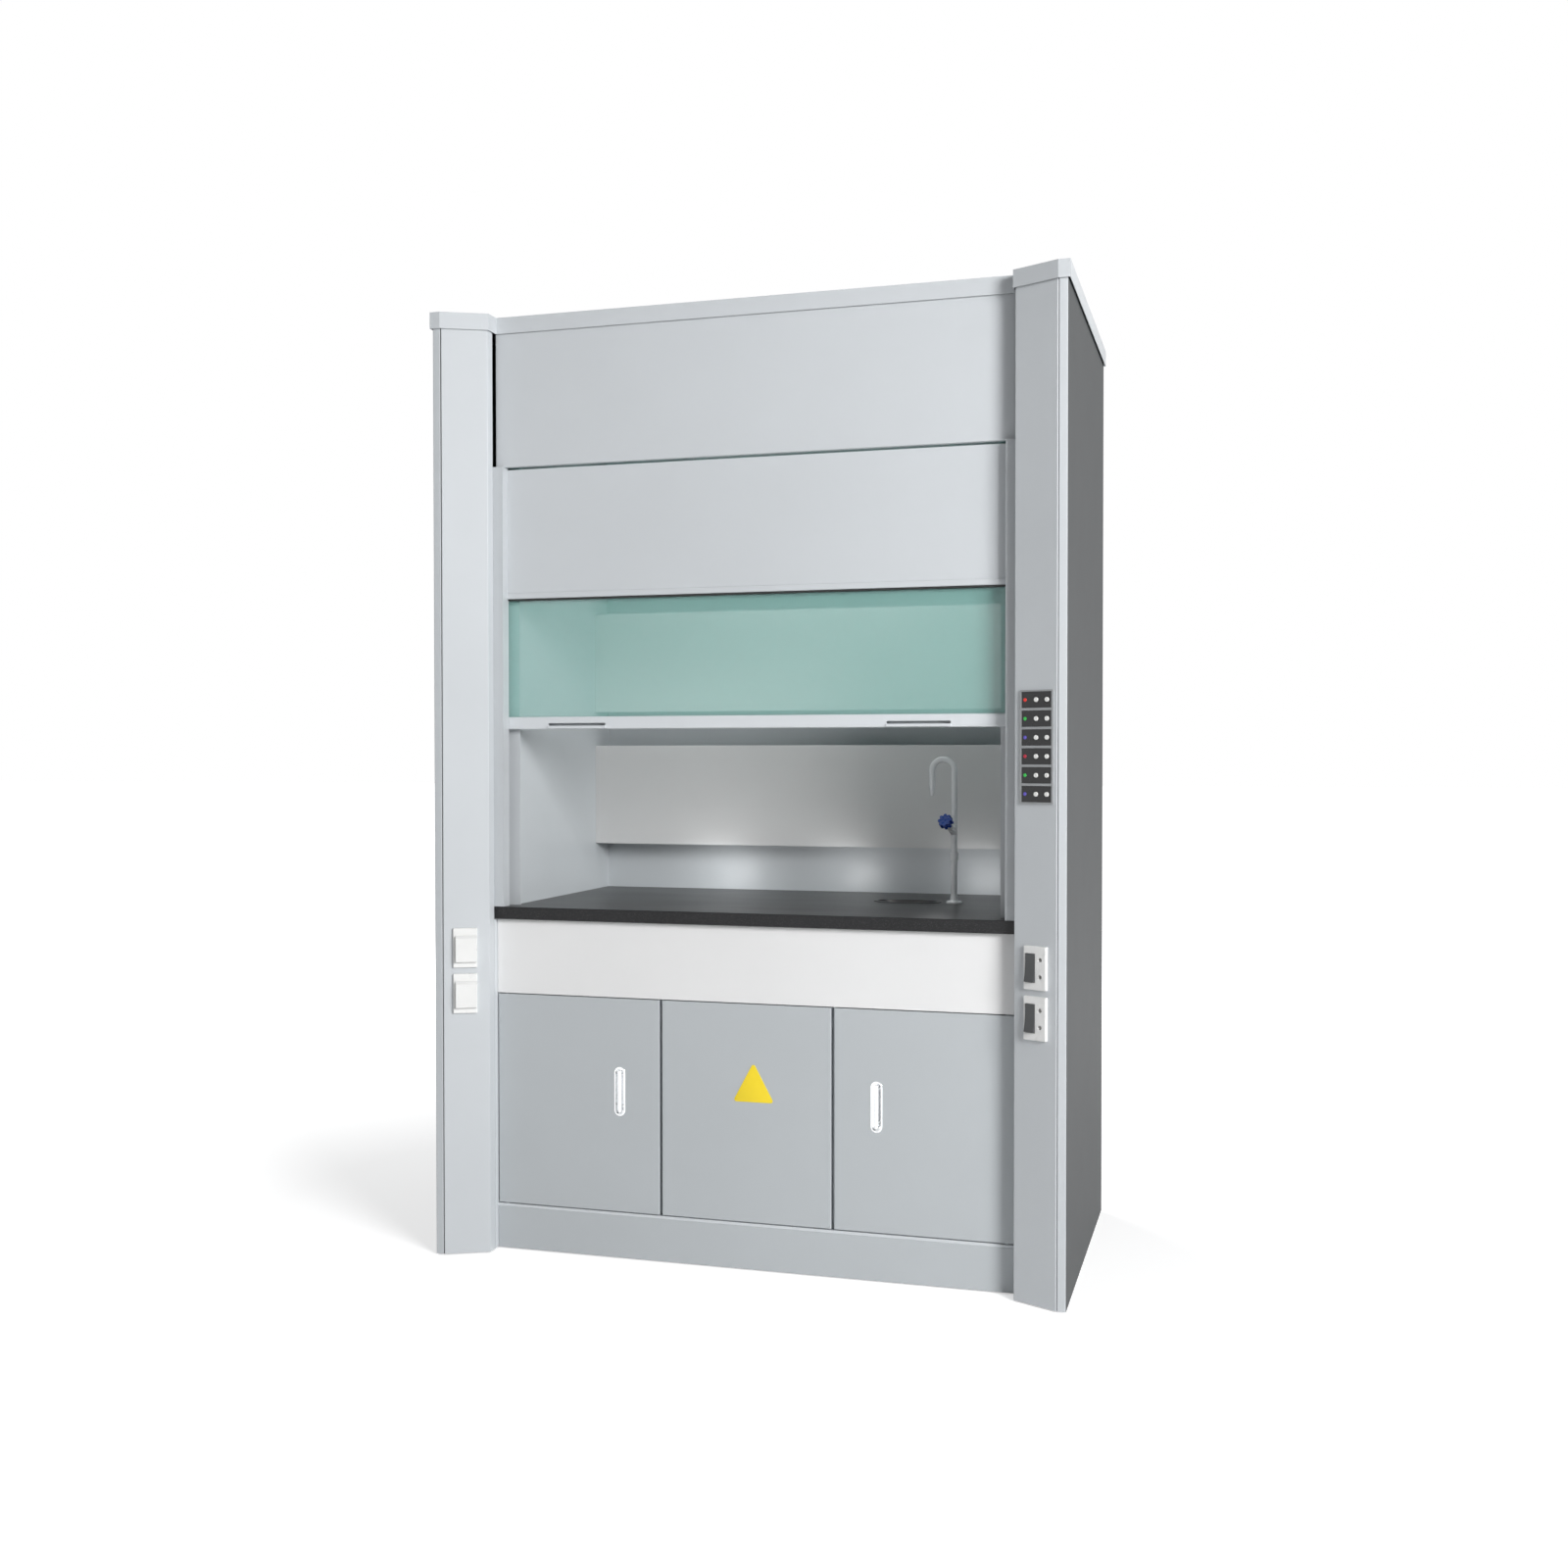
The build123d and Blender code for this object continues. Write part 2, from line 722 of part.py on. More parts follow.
# Cup sink: an oval bowl that hangs by its rim and narrows to a round waste with a grid
bowl_bottom = worktop_top - sink_depth
bowl_floor = bowl_bottom + sink_wall
with BuildPart() as cup_sink:
    with BuildSketch(Plane.XY.offset(worktop_top)):
        with Locations((sink_x, sink_y)):
            Ellipse(sink_length / 2 + sink_rim, sink_width / 2 + sink_rim)
    extrude(amount=sink_rim_height, taper=sink_rim_taper)
    with BuildSketch(Plane.XY.offset(bowl_bottom)):
        with Locations((sink_x, sink_y)):
            Ellipse(sink_foot_length / 2, sink_foot_width / 2)
    with BuildSketch(Plane.XY.offset(worktop_top)):
        with Locations((sink_x, sink_y)):
            Ellipse(sink_length / 2 + sink_wall, sink_width / 2 + sink_wall)
    loft()
    with BuildSketch(Plane.XY.offset(bowl_floor)):
        with Locations((sink_x, sink_y)):
            Ellipse(sink_foot_length / 2 - sink_wall, sink_foot_width / 2 - sink_wall)
    with BuildSketch(Plane.XY.offset(worktop_top + sink_rim_height)):
        with Locations((sink_x, sink_y)):
            Ellipse(sink_length / 2, sink_width / 2)
    loft(mode=Mode.SUBTRACT)
    with BuildSketch(Plane.XY.offset(bowl_floor)):
        with Locations((sink_x, sink_y)):
            Circle(waste_diameter / 2)
    extrude(amount=-waste_length - sink_wall)
    with BuildSketch(Plane.XY.offset(bowl_floor)):
        with Locations((sink_x, sink_y)):
            Circle(waste_bore / 2)
            Rectangle(waste_bore, waste_bar, mode=Mode.SUBTRACT)
            Rectangle(waste_bar, waste_bore, mode=Mode.SUBTRACT)
    extrude(amount=-sink_wall, mode=Mode.SUBTRACT)
    with BuildSketch(Plane.XY.offset(bowl_bottom)):
        with Locations((sink_x, sink_y)):
            Circle(waste_bore / 2)
    extrude(amount=-waste_length, mode=Mode.SUBTRACT)
save(cup_sink, "cup_sink")


# Apron under the worktop, open underneath, with the centre panel and the plinth below it
with BuildPart() as apron_panel:
    apron_trim = 2 * edge_radius
    add(pan(-panel_half, panel_half, apron_bottom - apron_trim, worktop_bottom, panel_thickness))
    split(bisect_by=Plane.XY.offset(apron_bottom), keep=Keep.TOP)
save(apron_panel, "apron_panel")

with BuildPart() as centre_panel:
    half_centre = centre_panel_width / 2
    add(pan(-half_centre, half_centre, door_bottom, door_top, panel_thickness))
save(centre_panel, "centre_panel")

with BuildPart() as plinth:
    add(pan(-panel_half, panel_half, foot_gap, plinth_top, panel_thickness))
save(plinth, "plinth")


# Cabinet carcass: one welded frame of folded sheet with two partitions, base rails for the
# levelling feet and the fixed pins that the doors swing on
carcass_front_y = track_front_y + seat_gap
carcass_back_y = worktop_back_y
carcass_depth = carcass_back_y - carcass_front_y
behind_panels_y = face_y + panel_thickness + seat_gap
pivot_x = door_outer_x - pivot_inset
pivot_y = face_y + panel_thickness / 2
front_foot_y = face_y + front_foot_setback
rear_foot_y = carcass_back_y - foot_inset
with BuildPart() as cabinet_carcass:
    for side in (-1, 1):
        wall_path = [
            (side * (opening_x - carcass_flange), worktop_bottom),
            (side * (opening_x + steel_sheet), worktop_bottom),
            (side * (opening_x + steel_sheet), foot_gap),
        ]
        with BuildSketch(Plane.XZ.offset(-carcass_back_y)):
            add(folded_section(wall_path, Side.RIGHT if side > 0 else Side.LEFT))
        extrude(amount=carcass_depth)
        flange_notch = behind_panels_y - carcass_front_y
        notch_centre = (side * (opening_x - carcass_flange / 2), carcass_front_y + flange_notch / 2)
        with BuildSketch(Plane.XY.offset(worktop_bottom - bend_radius)):
            with Locations(notch_centre):
                Rectangle(carcass_flange, flange_notch)
        extrude(amount=bend_radius, mode=Mode.SUBTRACT)

    floor_path = [
        (face_y + seat_gap, plinth_top),
        (face_y + seat_gap, floor_top),
        (carcass_back_y, floor_top),
    ]
    with BuildSketch(Plane.YZ.offset(-opening_x)):
        add(folded_section(floor_path, Side.RIGHT))
    extrude(amount=2 * opening_x)

    for side in (-1, 1):
        partition_x = side * (door_inner_x + door_stop)
        partition_path = [
            (partition_x - side * partition_flange, behind_panels_y),
            (partition_x, behind_panels_y),
            (partition_x, carcass_back_y),
        ]
        with BuildSketch(Plane.XY.offset(floor_top)):
            add(folded_section(partition_path, Side.LEFT if side > 0 else Side.RIGHT))
        extrude(amount=worktop_bottom - floor_top)

    with BuildSketch(Plane.XZ.offset(-carcass_back_y)):
        with Locations((0, (floor_top + worktop_bottom) / 2)):
            Rectangle(2 * opening_x, worktop_bottom - floor_top)
    extrude(amount=steel_sheet)

    plate_front_y = face_y + steel_sheet + seat_gap
    plate_back_y = plate_front_y + rail_plate_depth
    with BuildSketch(Plane.XY.offset(apron_bottom)):
        with Locations((0, (plate_front_y + plate_back_y) / 2)):
            Rectangle(2 * (panel_half - steel_sheet - seat_gap), rail_plate_depth)
        with Locations((0, (behind_panels_y + plate_back_y) / 2)):
            Rectangle(2 * opening_x, plate_back_y - behind_panels_y)
    extrude(amount=steel_sheet)

    # Service cut-out that the waste and water pipes come up through
    service_x = (sink_x + tap_x) / 2
    with BuildSketch(Plane.XY.offset(floor_top)):
        with Locations((service_x, sink_y)):
            Rectangle(service_length, service_width)
    extrude(amount=-steel_sheet, mode=Mode.SUBTRACT)

    rail_end_x = half_width - steel_sheet
    for rail_y in (front_foot_y, rear_foot_y):
        with BuildSketch(Plane.YZ.offset(-rail_end_x)):
            with Locations((rail_y, base_rail_bottom + base_rail_height / 2)):
                Rectangle(base_rail_width, base_rail_height)
            with Locations((rail_y, base_rail_bottom + base_rail_height / 2 + base_rail_sheet)):
                Rectangle(
                    base_rail_width - 2 * base_rail_sheet, base_rail_height, mode=Mode.SUBTRACT
                )
        extrude(amount=2 * rail_end_x)
        with BuildSketch(Plane.XY.offset(base_rail_bottom)):
            with Locations((-foot_x, rail_y), (foot_x, rail_y)):
                Circle(foot_stem / 2 + foot_stem_gap)
        extrude(amount=base_rail_sheet, mode=Mode.SUBTRACT)

    with BuildSketch(Plane.XY.offset(floor_top)):
        with Locations((-pivot_x, pivot_y), (pivot_x, pivot_y)):
            Circle(pivot_washer / 2)
    extrude(amount=door_gap - seat_gap)
    with BuildSketch(Plane.XY.offset(floor_top)):
        with Locations((-pivot_x, pivot_y), (pivot_x, pivot_y)):
            Circle(pivot_diameter / 2)
    extrude(amount=pivot_length)
    with BuildSketch(Plane.XY.offset(apron_bottom)):
        with Locations((-pivot_x, pivot_y), (pivot_x, pivot_y)):
            Circle(pivot_diameter / 2)
    extrude(amount=-pivot_length)
save(cabinet_carcass, "cabinet_carcass")


# Doors: hemmed pans that swing on blocks in their outer corners, with a slot for the handle
handle_x = door_inner_x + handle_inset
with BuildPart() as right_door:
    add(pan(door_inner_x, door_outer_x, door_bottom, door_top, panel_thickness))
    with BuildSketch(Plane.XZ.offset(-face_y - panel_thickness)):
        with Locations(((door_inner_x + door_outer_x) / 2, (door_bottom + door_top) / 2)):
            Rectangle(door_outer_x - door_inner_x, door_top - door_bottom)
            Rectangle(
                door_outer_x - door_inner_x - 2 * door_hem,
                door_top - door_bottom - 2 * door_hem,
                mode=Mode.SUBTRACT,
            )
    extrude(amount=steel_sheet)
    block_x = door_outer_x - steel_sheet - pivot_block_width / 2
    top_block = door_top - steel_sheet - pivot_block_height
    for block_bottom in (door_bottom + steel_sheet, top_block):
        with BuildSketch(Plane.XY.offset(block_bottom)):
            with Locations((block_x, pivot_y + steel_sheet / 2)):
                Rectangle(pivot_block_width, panel_thickness - steel_sheet)
        extrude(amount=pivot_block_height)
    with BuildSketch(Plane.XY.offset(door_bottom)):
        with Locations((pivot_x, pivot_y)):
            Circle(pivot_diameter / 2 + running_gap)
    extrude(amount=door_top - door_bottom, mode=Mode.SUBTRACT)
    with BuildSketch(Plane.XZ.offset(-face_y)):
        with Locations((handle_x, handle_height)):
            SlotOverall(handle_length + 2 * cutout_gap, handle_width + 2 * cutout_gap, rotation=90)
    extrude(amount=-steel_sheet, mode=Mode.SUBTRACT)
save(right_door, "right_door")

with BuildPart() as left_door:
    mirror(right_door.part, about=Plane.YZ)
save(left_door, "left_door")


# Door handles: an obround cup with a rim and a bright bar standing on two posts
def handle_slot(length, width):
    """Upright slot outline of a handle."""
    with Locations((handle_x, handle_height)):
        SlotOverall(length, width, rotation=90)


with BuildPart() as right_door_handle:
    with BuildSketch(Plane.XZ.offset(-face_y)):
        handle_slot(handle_length + 2 * handle_rim, handle_width + 2 * handle_rim)
    extrude(amount=handle_rim_height)
    fillet(right_door_handle.faces().sort_by(Axis.Y)[0].edges(), handle_rim_height * 0.8)
    with BuildSketch(Plane.XZ.offset(-face_y)):
        handle_slot(handle_length, handle_width)
    extrude(amount=-handle_cup_depth)
    with BuildSketch(Plane.XZ.offset(-face_y + handle_rim_height)):
        handle_slot(handle_length - 2 * handle_wall, handle_width - 2 * handle_wall)
    extrude(amount=handle_wall - handle_rim_height - handle_cup_depth, mode=Mode.SUBTRACT)
    with BuildSketch(Plane.XZ.offset(-face_y + handle_bar_proud)):
        handle_slot(handle_bar_length, handle_bar_width)
    extrude(amount=-handle_bar_thickness)
    fillet(right_door_handle.faces().sort_by(Axis.Y)[0].edges(), handle_bar_radius)
    with BuildSketch(Plane.XZ.offset(handle_wall - face_y - handle_cup_depth)):
        with Locations((handle_x, handle_height)):
            with GridLocations(0, handle_post_spread, 1, 2):
                Circle(handle_post_diameter / 2)
    extrude(amount=handle_cup_depth - handle_wall + handle_bar_proud - handle_bar_thickness)
save(right_door_handle, "right_door_handle")

with BuildPart() as left_door_handle:
    mirror(right_door_handle.part, about=Plane.YZ)
save(left_door_handle, "left_door_handle")


# Levelling feet: a pad and a stem under each end of the base rails, with a nut
with BuildPart() as levelling_feet:
    foot_places = [(x, y) for x in (-foot_x, foot_x) for y in (front_foot_y, rear_foot_y)]
    with BuildSketch(Plane.XY):
        with Locations(foot_places):
            Circle(foot_diameter / 2)
    extrude(amount=foot_pad, taper=20)
    with BuildSketch(Plane.XY):
        with Locations(foot_places):
            Circle(foot_stem / 2)
    extrude(amount=foot_pad + foot_stem_length)
    with BuildSketch(Plane.XY.offset(base_rail_bottom - foot_nut_height)):
        with Locations(foot_places):
            RegularPolygon(foot_nut_width / 2, 6, major_radius=False)
    extrude(amount=foot_nut_height)
save(levelling_feet, "levelling_feet")


# Tap base: a flange, a cone, a riser and a union that the spout turns in, over a threaded
# shank with its locknut under the worktop
with BuildPart() as tap_base:
    union_floor = tap_union_top - tap_union_depth
    with BuildSketch(Plane(origin=(tap_x, tap_y, worktop_top), x_dir=(1, 0, 0), z_dir=(0, -1, 0))):
        with BuildLine():
            Polyline(
                (0, 0),
                (tap_flange / 2, 0),
                (tap_flange / 2, tap_flange_thickness / 2),
                (tap_flange / 2 - tap_flange_thickness / 2, tap_flange_thickness),
                (tap_tube / 2 + tap_flange_thickness / 2, tap_flange_thickness),
                (tap_tube / 2, tap_cone_top),
                (tap_tube / 2, tap_union_bottom),
                (tap_union_diameter / 2, tap_union_bottom),
                (tap_union_diameter / 2, tap_union_top),
                (tap_tube / 2 + running_gap, tap_union_top),
                (tap_tube / 2 + running_gap, union_floor),
                (0, union_floor),
                close=True,
            )
        make_face()
    revolve(axis=Axis((tap_x, tap_y, 0), (0, 0, 1)))
    with BuildSketch(Plane.XY.offset(worktop_top)):
        with Locations((tap_x, tap_y)):
            Circle(shank_diameter / 2)
    extrude(amount=-shank_length)
    with BuildSketch(Plane.XY.offset(worktop_bottom)):
        with Locations((tap_x, tap_y)):
            RegularPolygon(shank_nut_width / 2, 6, major_radius=False)
    extrude(amount=-shank_nut_height)
save(tap_base, "tap_base")


# Tap spout: a gooseneck with a barbed nozzle and a valve that branches off the riser
spout_bottom = worktop_top + union_floor + seat_gap
arch_z = worktop_top + tap_arch_centre
nozzle_x = tap_x - tap_reach
nozzle_top = worktop_top + tap_nozzle_top
nozzle_tip = worktop_top + tap_nozzle_tip
valve_root = (tap_x, tap_y, worktop_top + tap_valve_height)
valve_plane = Plane(
    origin=valve_root, x_dir=(1, 0, 0), z_dir=(valve_side, valve_forward, valve_up)
)
knob_distance = hypot(valve_side, valve_forward, valve_up)
with BuildPart() as tap_spout:
    with BuildLine():
        riser = Line((tap_x, tap_y, spout_bottom), (tap_x, tap_y, arch_z))
        arch = ThreePointArc(
            (tap_x, tap_y, arch_z),
            (tap_x - tap_reach / 2, tap_y, arch_z + tap_reach / 2),
            (nozzle_x, tap_y, arch_z),
        )
        drop = Line((nozzle_x, tap_y, arch_z), (nozzle_x, tap_y, nozzle_top))
    with BuildSketch(Plane(origin=riser @ 0, z_dir=riser % 0)):
        Circle(tap_tube / 2)
    sweep()
    barb_pitch = (tap_nozzle_top - tap_nozzle_tip) / (tap_barb_count + 1)
    barb_growth = (tap_tube / 2 - tap_tip_diameter / 2 - tap_barb_rise) / tap_barb_count
    with BuildSketch(Plane(origin=(nozzle_x, tap_y, nozzle_tip), x_dir=(1, 0, 0), z_dir=(0, -1, 0))):
        with BuildLine():
            barbs = [(tap_tip_bore / 2, 0)]
            for i in range(tap_barb_count):
                root_radius = tap_tip_diameter / 2 + i * barb_growth
                barbs.append((root_radius, i * barb_pitch))
                barbs.append((root_radius + tap_barb_rise, (i + 1) * barb_pitch))
            barbs.append((tap_tube / 2, tap_nozzle_top - tap_nozzle_tip))
            barbs.append((tap_tip_bore / 2, tap_nozzle_top - tap_nozzle_tip))
            Polyline(*barbs, close=True)
        make_face()
    revolve(axis=Axis((nozzle_x, tap_y, 0), (0, 0, 1)))
    with BuildSketch(valve_plane):
        Circle(valve_boss_diameter / 2)
    extrude(amount=valve_boss_length)
    with BuildSketch(valve_plane.offset(valve_boss_length)):
        RegularPolygon(bonnet_width / 2, 6, major_radius=False)
    extrude(amount=bonnet_length)
    with BuildSketch(valve_plane.offset(valve_boss_length + bonnet_length)):
        Circle(stem_diameter / 2)
    stem_end = knob_distance + knob_thickness / 2 - knob_web - seat_gap
    extrude(amount=stem_end - valve_boss_length - bonnet_length)
save(tap_spout, "tap_spout")


# Tap knob: a lobed hand wheel with a blind bore for the stem
knob_plane = valve_plane.offset(knob_distance - knob_thickness / 2)
with BuildPart() as tap_knob:
    with BuildSketch(knob_plane) as lobes:
        lobe_circle = knob_diameter / 2 - knob_lobe_radius
        Circle(lobe_circle)
        with PolarLocations(lobe_circle, knob_lobes):
            Circle(knob_lobe_radius)
        fillet(lobes.vertices(), knob_root_radius)
    extrude(amount=knob_thickness)
    fillet(facing(tap_knob, knob_plane.z_dir).edges(), knob_edge_radius)
    with BuildSketch(knob_plane):
        Circle(stem_diameter / 2 + running_gap)
    extrude(amount=knob_thickness - knob_web, mode=Mode.SUBTRACT)
save(tap_knob, "tap_knob")


# Service panel: a frame with six windows on the slanted face
module_heights = [
    panel_middle + ((module_count - 1) / 2 - i) * module_pitch for i in range(module_count)
]
with BuildPart() as control_panel:
    with BuildSketch(on_post(1, panel_along, panel_middle)):
        RectangleRounded(panel_width, module_span + 2 * bezel_margin, bezel_radius)
        with GridLocations(0, module_pitch, 1, module_count):
            Rectangle(module_width, module_height, mode=Mode.SUBTRACT)
    extrude(amount=bezel_thickness)
save(control_panel, "control_panel")


# Six switch modules behind the windows, each with a lens pocket and two button wells
module_face = bezel_thickness - module_recess
button_well = button_length - button_proud + button_travel + button_gap
with BuildPart() as control_modules:
    for height in module_heights:
        face = on_post(1, panel_along, height, module_face)
        with BuildSketch(face):
            Rectangle(module_width - 2 * module_gap, module_height - 2 * module_gap)
        extrude(amount=-module_face - module_depth)
        with BuildSketch(face):
            with Locations((start_along, 0), (stop_along, 0)):
                Circle(button_ring / 2)
        extrude(amount=-button_ring_depth, mode=Mode.SUBTRACT)
        with BuildSketch(face):
            with Locations((start_along, 0), (stop_along, 0)):
                Circle(button_diameter / 2 + button_gap)
        extrude(amount=-button_well, mode=Mode.SUBTRACT)
        with BuildSketch(face):
            with Locations((lens_along, 0)):
                Circle(lens_diameter / 2 + lens_gap)
        extrude(amount=-lens_depth, mode=Mode.SUBTRACT)
save(control_modules, "control_modules")

with BuildPart() as indicator_lights:
    for height in module_heights:
        with BuildSketch(on_post(1, panel_along, height, module_face - lens_depth)):
            with Locations((lens_along, 0)):
                Circle(lens_diameter / 2)
        extrude(amount=lens_depth + lens_proud)
    fillet(facing(indicator_lights, on_post(1, 0, 0).z_dir).edges(), lens_radius)
save(indicator_lights, "indicator_lights")


# Buttons: a start and a stop button in each module
def make_button(height, along):
    """Round push button, standing proud of its module."""
    base = on_post(1, panel_along, height, module_face + button_proud - button_length)
    with BuildPart() as piece:
        with BuildSketch(base):
            with Locations((along, 0)):
                Circle(button_diameter / 2)
        extrude(amount=button_length)
        fillet(facing(piece, base.z_dir).edges(), button_radius)
    return piece


for number, height in enumerate(module_heights, start=1):
    save(make_button(height, start_along), f"start_button_{number}")
    save(make_button(height, stop_along), f"stop_button_{number}")


# Socket plates, two on each post: on the right an outlet beside a rocker's well, on the left a
# round well under a hinged cover
axis_out = plate_thickness + cover_gap + cover_barrel
axis_rise = cover_top - cover_barrel
with BuildPart() as socket_plates:
    for side in (-1, 1):
        for height in socket_heights:
            middle = on_post(side, socket_along, height)
            with BuildSketch(middle):
                RectangleRounded(plate_width, plate_height, plate_radius)
            extrude(amount=plate_thickness)
            with BuildSketch(middle):
                Rectangle(socket_box_width, socket_box_height)
            extrude(amount=-socket_box_depth)
    for side in (-1, 1):
        normal = on_post(side, 0, 0).z_dir
        fillet(facing(socket_plates, normal).edges(), plate_radius)
    for height in socket_heights:
        with BuildSketch(on_post(1, socket_along + rocker_shift, height, plate_thickness)):
            Rectangle(rocker_width + 2 * rocker_gap, rocker_length + 2 * rocker_gap)
        extrude(amount=-rocker_well, mode=Mode.SUBTRACT)
        pivot_out = plate_thickness - rocker_pivot_depth
        pivot = on_post(1, socket_along + rocker_shift, height, pivot_out)
        with BuildSketch(sideways(pivot)):
            Circle(rocker_pin / 2 + running_gap)
        pin_reach = rocker_width / 2 + rocker_pin_length + seat_gap
        extrude(amount=pin_reach, both=True, mode=Mode.SUBTRACT)
        with BuildSketch(on_post(1, socket_along + outlet_shift, height, plate_thickness)):
            with GridLocations(0, outlet_spread, 1, 2):
                Circle(outlet_diameter / 2)
        extrude(amount=-outlet_depth, mode=Mode.SUBTRACT)
        with BuildSketch(on_post(-1, socket_along - cover_shift, height, plate_thickness)):
            Circle(covered_well_diameter / 2)
        extrude(amount=-covered_well_depth, mode=Mode.SUBTRACT)
        with BuildSketch(on_post(-1, socket_along - cover_shift, height, plate_thickness)):
            with GridLocations(covered_outlet_spread, 0, 2, 1):
                Circle(covered_outlet_diameter / 2)
        extrude(amount=-covered_well_depth - outlet_depth, mode=Mode.SUBTRACT)
        hinge = on_post(-1, socket_along - cover_shift, height + axis_rise, axis_out)
        with BuildSketch(sideways(hinge)):
            Circle(cover_barrel)
            with Locations((-axis_out / 2 + plate_thickness / 2, 0)):
                Rectangle(cover_gap + cover_barrel, 2 * knuckle_foot)
        extrude(amount=knuckle_length / 2, both=True)
        with BuildSketch(sideways(hinge)):
            Circle(hinge_pin / 2 + running_gap)
        extrude(amount=knuckle_length / 2, both=True, mode=Mode.SUBTRACT)
save(socket_plates, "socket_plates")


def make_cover(height):
    """Hollow socket cover that hangs from its barrel, with a sloped top so that it can lift."""
    hinge = on_post(-1, socket_along - cover_shift, height + axis_rise, axis_out)
    section = sideways(hinge)
    cover_front = cover_depth - cover_barrel
    cover_bottom = cover_barrel - cover_height
    tangent = cover_barrel * sin(radians(45))
    with BuildPart() as piece:
        with BuildSketch(section):
            with BuildLine():
                Polyline(
                    (-cover_barrel, 0),
                    (-cover_barrel, cover_bottom),
                    (cover_front, cover_bottom),
                    (cover_front, 2 * tangent - cover_front),
                    (tangent, tangent),
                )
                ThreePointArc((tangent, tangent), (-tangent, tangent), (-cover_barrel, 0))
            make_face()
        extrude(amount=cover_width / 2, both=True)
        fillet(facing(piece, hinge.z_dir).edges(), cover_radius)
        with BuildSketch(section):
            hollow_bottom = cover_bottom + cover_wall
            with Locations((-cover_wall / 2, (hollow_bottom - cover_head) / 2)):
                Rectangle(cover_front + cover_barrel, -cover_head - hollow_bottom)
        extrude(amount=cover_width / 2 - cover_wall, both=True, mode=Mode.SUBTRACT)
        with BuildSketch(section):
            Circle(cover_barrel + knuckle_gap)
        extrude(amount=knuckle_length / 2 + knuckle_gap, both=True, mode=Mode.SUBTRACT)
        with BuildSketch(section):
            Circle(hinge_pin / 2)
        extrude(amount=knuckle_length, both=True)
    return piece


save(make_cover(socket_heights[0]), "left_upper_cover")
save(make_cover(socket_heights[1]), "left_lower_cover")


def make_rocker(height):
    """Rocker with a hollowed front and round ends, tilted as it rests on its lower half."""
    pivot = on_post(1, socket_along + rocker_shift, height, plate_thickness - rocker_pivot_depth)
    section = sideways(pivot, rocker_tilt)
    swing = rocker_length / 2
    front_end = sqrt(swing**2 - rocker_end_rise**2)
    base_end = sqrt(swing**2 - rocker_base**2)
    with BuildPart() as piece:
        with BuildSketch(section):
            with BuildLine():
                ThreePointArc((rocker_end_rise, -front_end), (rocker_middle_rise, 0), (rocker_end_rise, front_end))
                ThreePointArc((rocker_end_rise, front_end), (0, swing), (-rocker_base, base_end))
                Line((-rocker_base, base_end), (-rocker_base, -base_end))
                ThreePointArc((-rocker_base, -base_end), (0, -swing), (rocker_end_rise, -front_end))
            make_face()
        extrude(amount=rocker_width / 2, both=True)
        with BuildSketch(section):
            Circle(rocker_pin / 2)
        extrude(amount=rocker_width / 2 + rocker_pin_length, both=True)
    return piece


save(make_rocker(socket_heights[0]), "upper_rocker")
save(make_rocker(socket_heights[1]), "lower_rocker")


# Sash glass, standing in the groove of its rail
with BuildPart() as sash_glass:
    glass_bottom = rail_top - glass_seat
    with BuildSketch(Plane.XZ.offset(-sash_y)):
        with Locations((0, (glass_bottom + sash_top) / 2)):
            Rectangle(2 * glass_x, sash_top - glass_bottom)
    extrude(amount=glass_thickness / 2, both=True)
save(sash_glass, "sash_glass")


# Sash rail: a hollow extrusion with finger slots over two lips, and end caps that carry the
# clamps for the cables
with BuildPart() as sash_rail:
    rail_middle_z = sash_bottom + rail_height / 2
    with BuildSketch(Plane.YZ.offset(-glass_x)):
        with Locations((sash_y, rail_middle_z)):
            RectangleRounded(rail_depth, rail_height, rail_radius)
        with Locations((sash_y, (sash_bottom + glass_bottom) / 2)):
            Rectangle(
                rail_depth - 2 * rail_wall,
                rail_height - glass_seat - 2 * rail_wall,
                mode=Mode.SUBTRACT,
            )
        with Locations((sash_y, (glass_bottom + rail_top) / 2)):
            Rectangle(glass_thickness + 2 * glass_groove_gap, glass_seat, mode=Mode.SUBTRACT)
    extrude(amount=2 * glass_x)
    rail_front = Plane.XZ.offset(rail_depth / 2 - sash_y)
    slot_z = sash_bottom + grip_above_bottom + grip_slot / 2
    lip_z = sash_bottom + grip_above_bottom - grip_lip_height / 2 - 0.5
    with BuildSketch(rail_front):
        with Locations((left_grip_x, lip_z), (right_grip_x, lip_z)):
            Rectangle(grip_length, grip_lip_height)
    extrude(amount=grip_lip)
    lip_edges = sash_rail.edges().filter_by(Axis.X).group_by(Axis.Y)[0]
    fillet(lip_edges, grip_lip / 4)
    with BuildSketch(rail_front):
        with Locations((left_grip_x, slot_z), (right_grip_x, slot_z)):
            SlotOverall(grip_length, grip_slot)
    extrude(amount=-rail_wall, mode=Mode.SUBTRACT)
    for side in (-1, 1):
        with BuildSketch(Plane.YZ.offset(side * glass_x)):
            with Locations((sash_y, rail_middle_z)):
                RectangleRounded(rail_depth, rail_height, rail_radius)
        extrude(amount=side * rail_cap)
        with BuildSketch(Plane.YZ.offset(side * (glass_x + rail_cap))):
            with Locations((sash_y, rail_top - clamp_drop - clamp_height / 2)):
                Rectangle(clamp_width, clamp_height)
        extrude(amount=side * clamp_length)
save(sash_rail, "sash_rail")


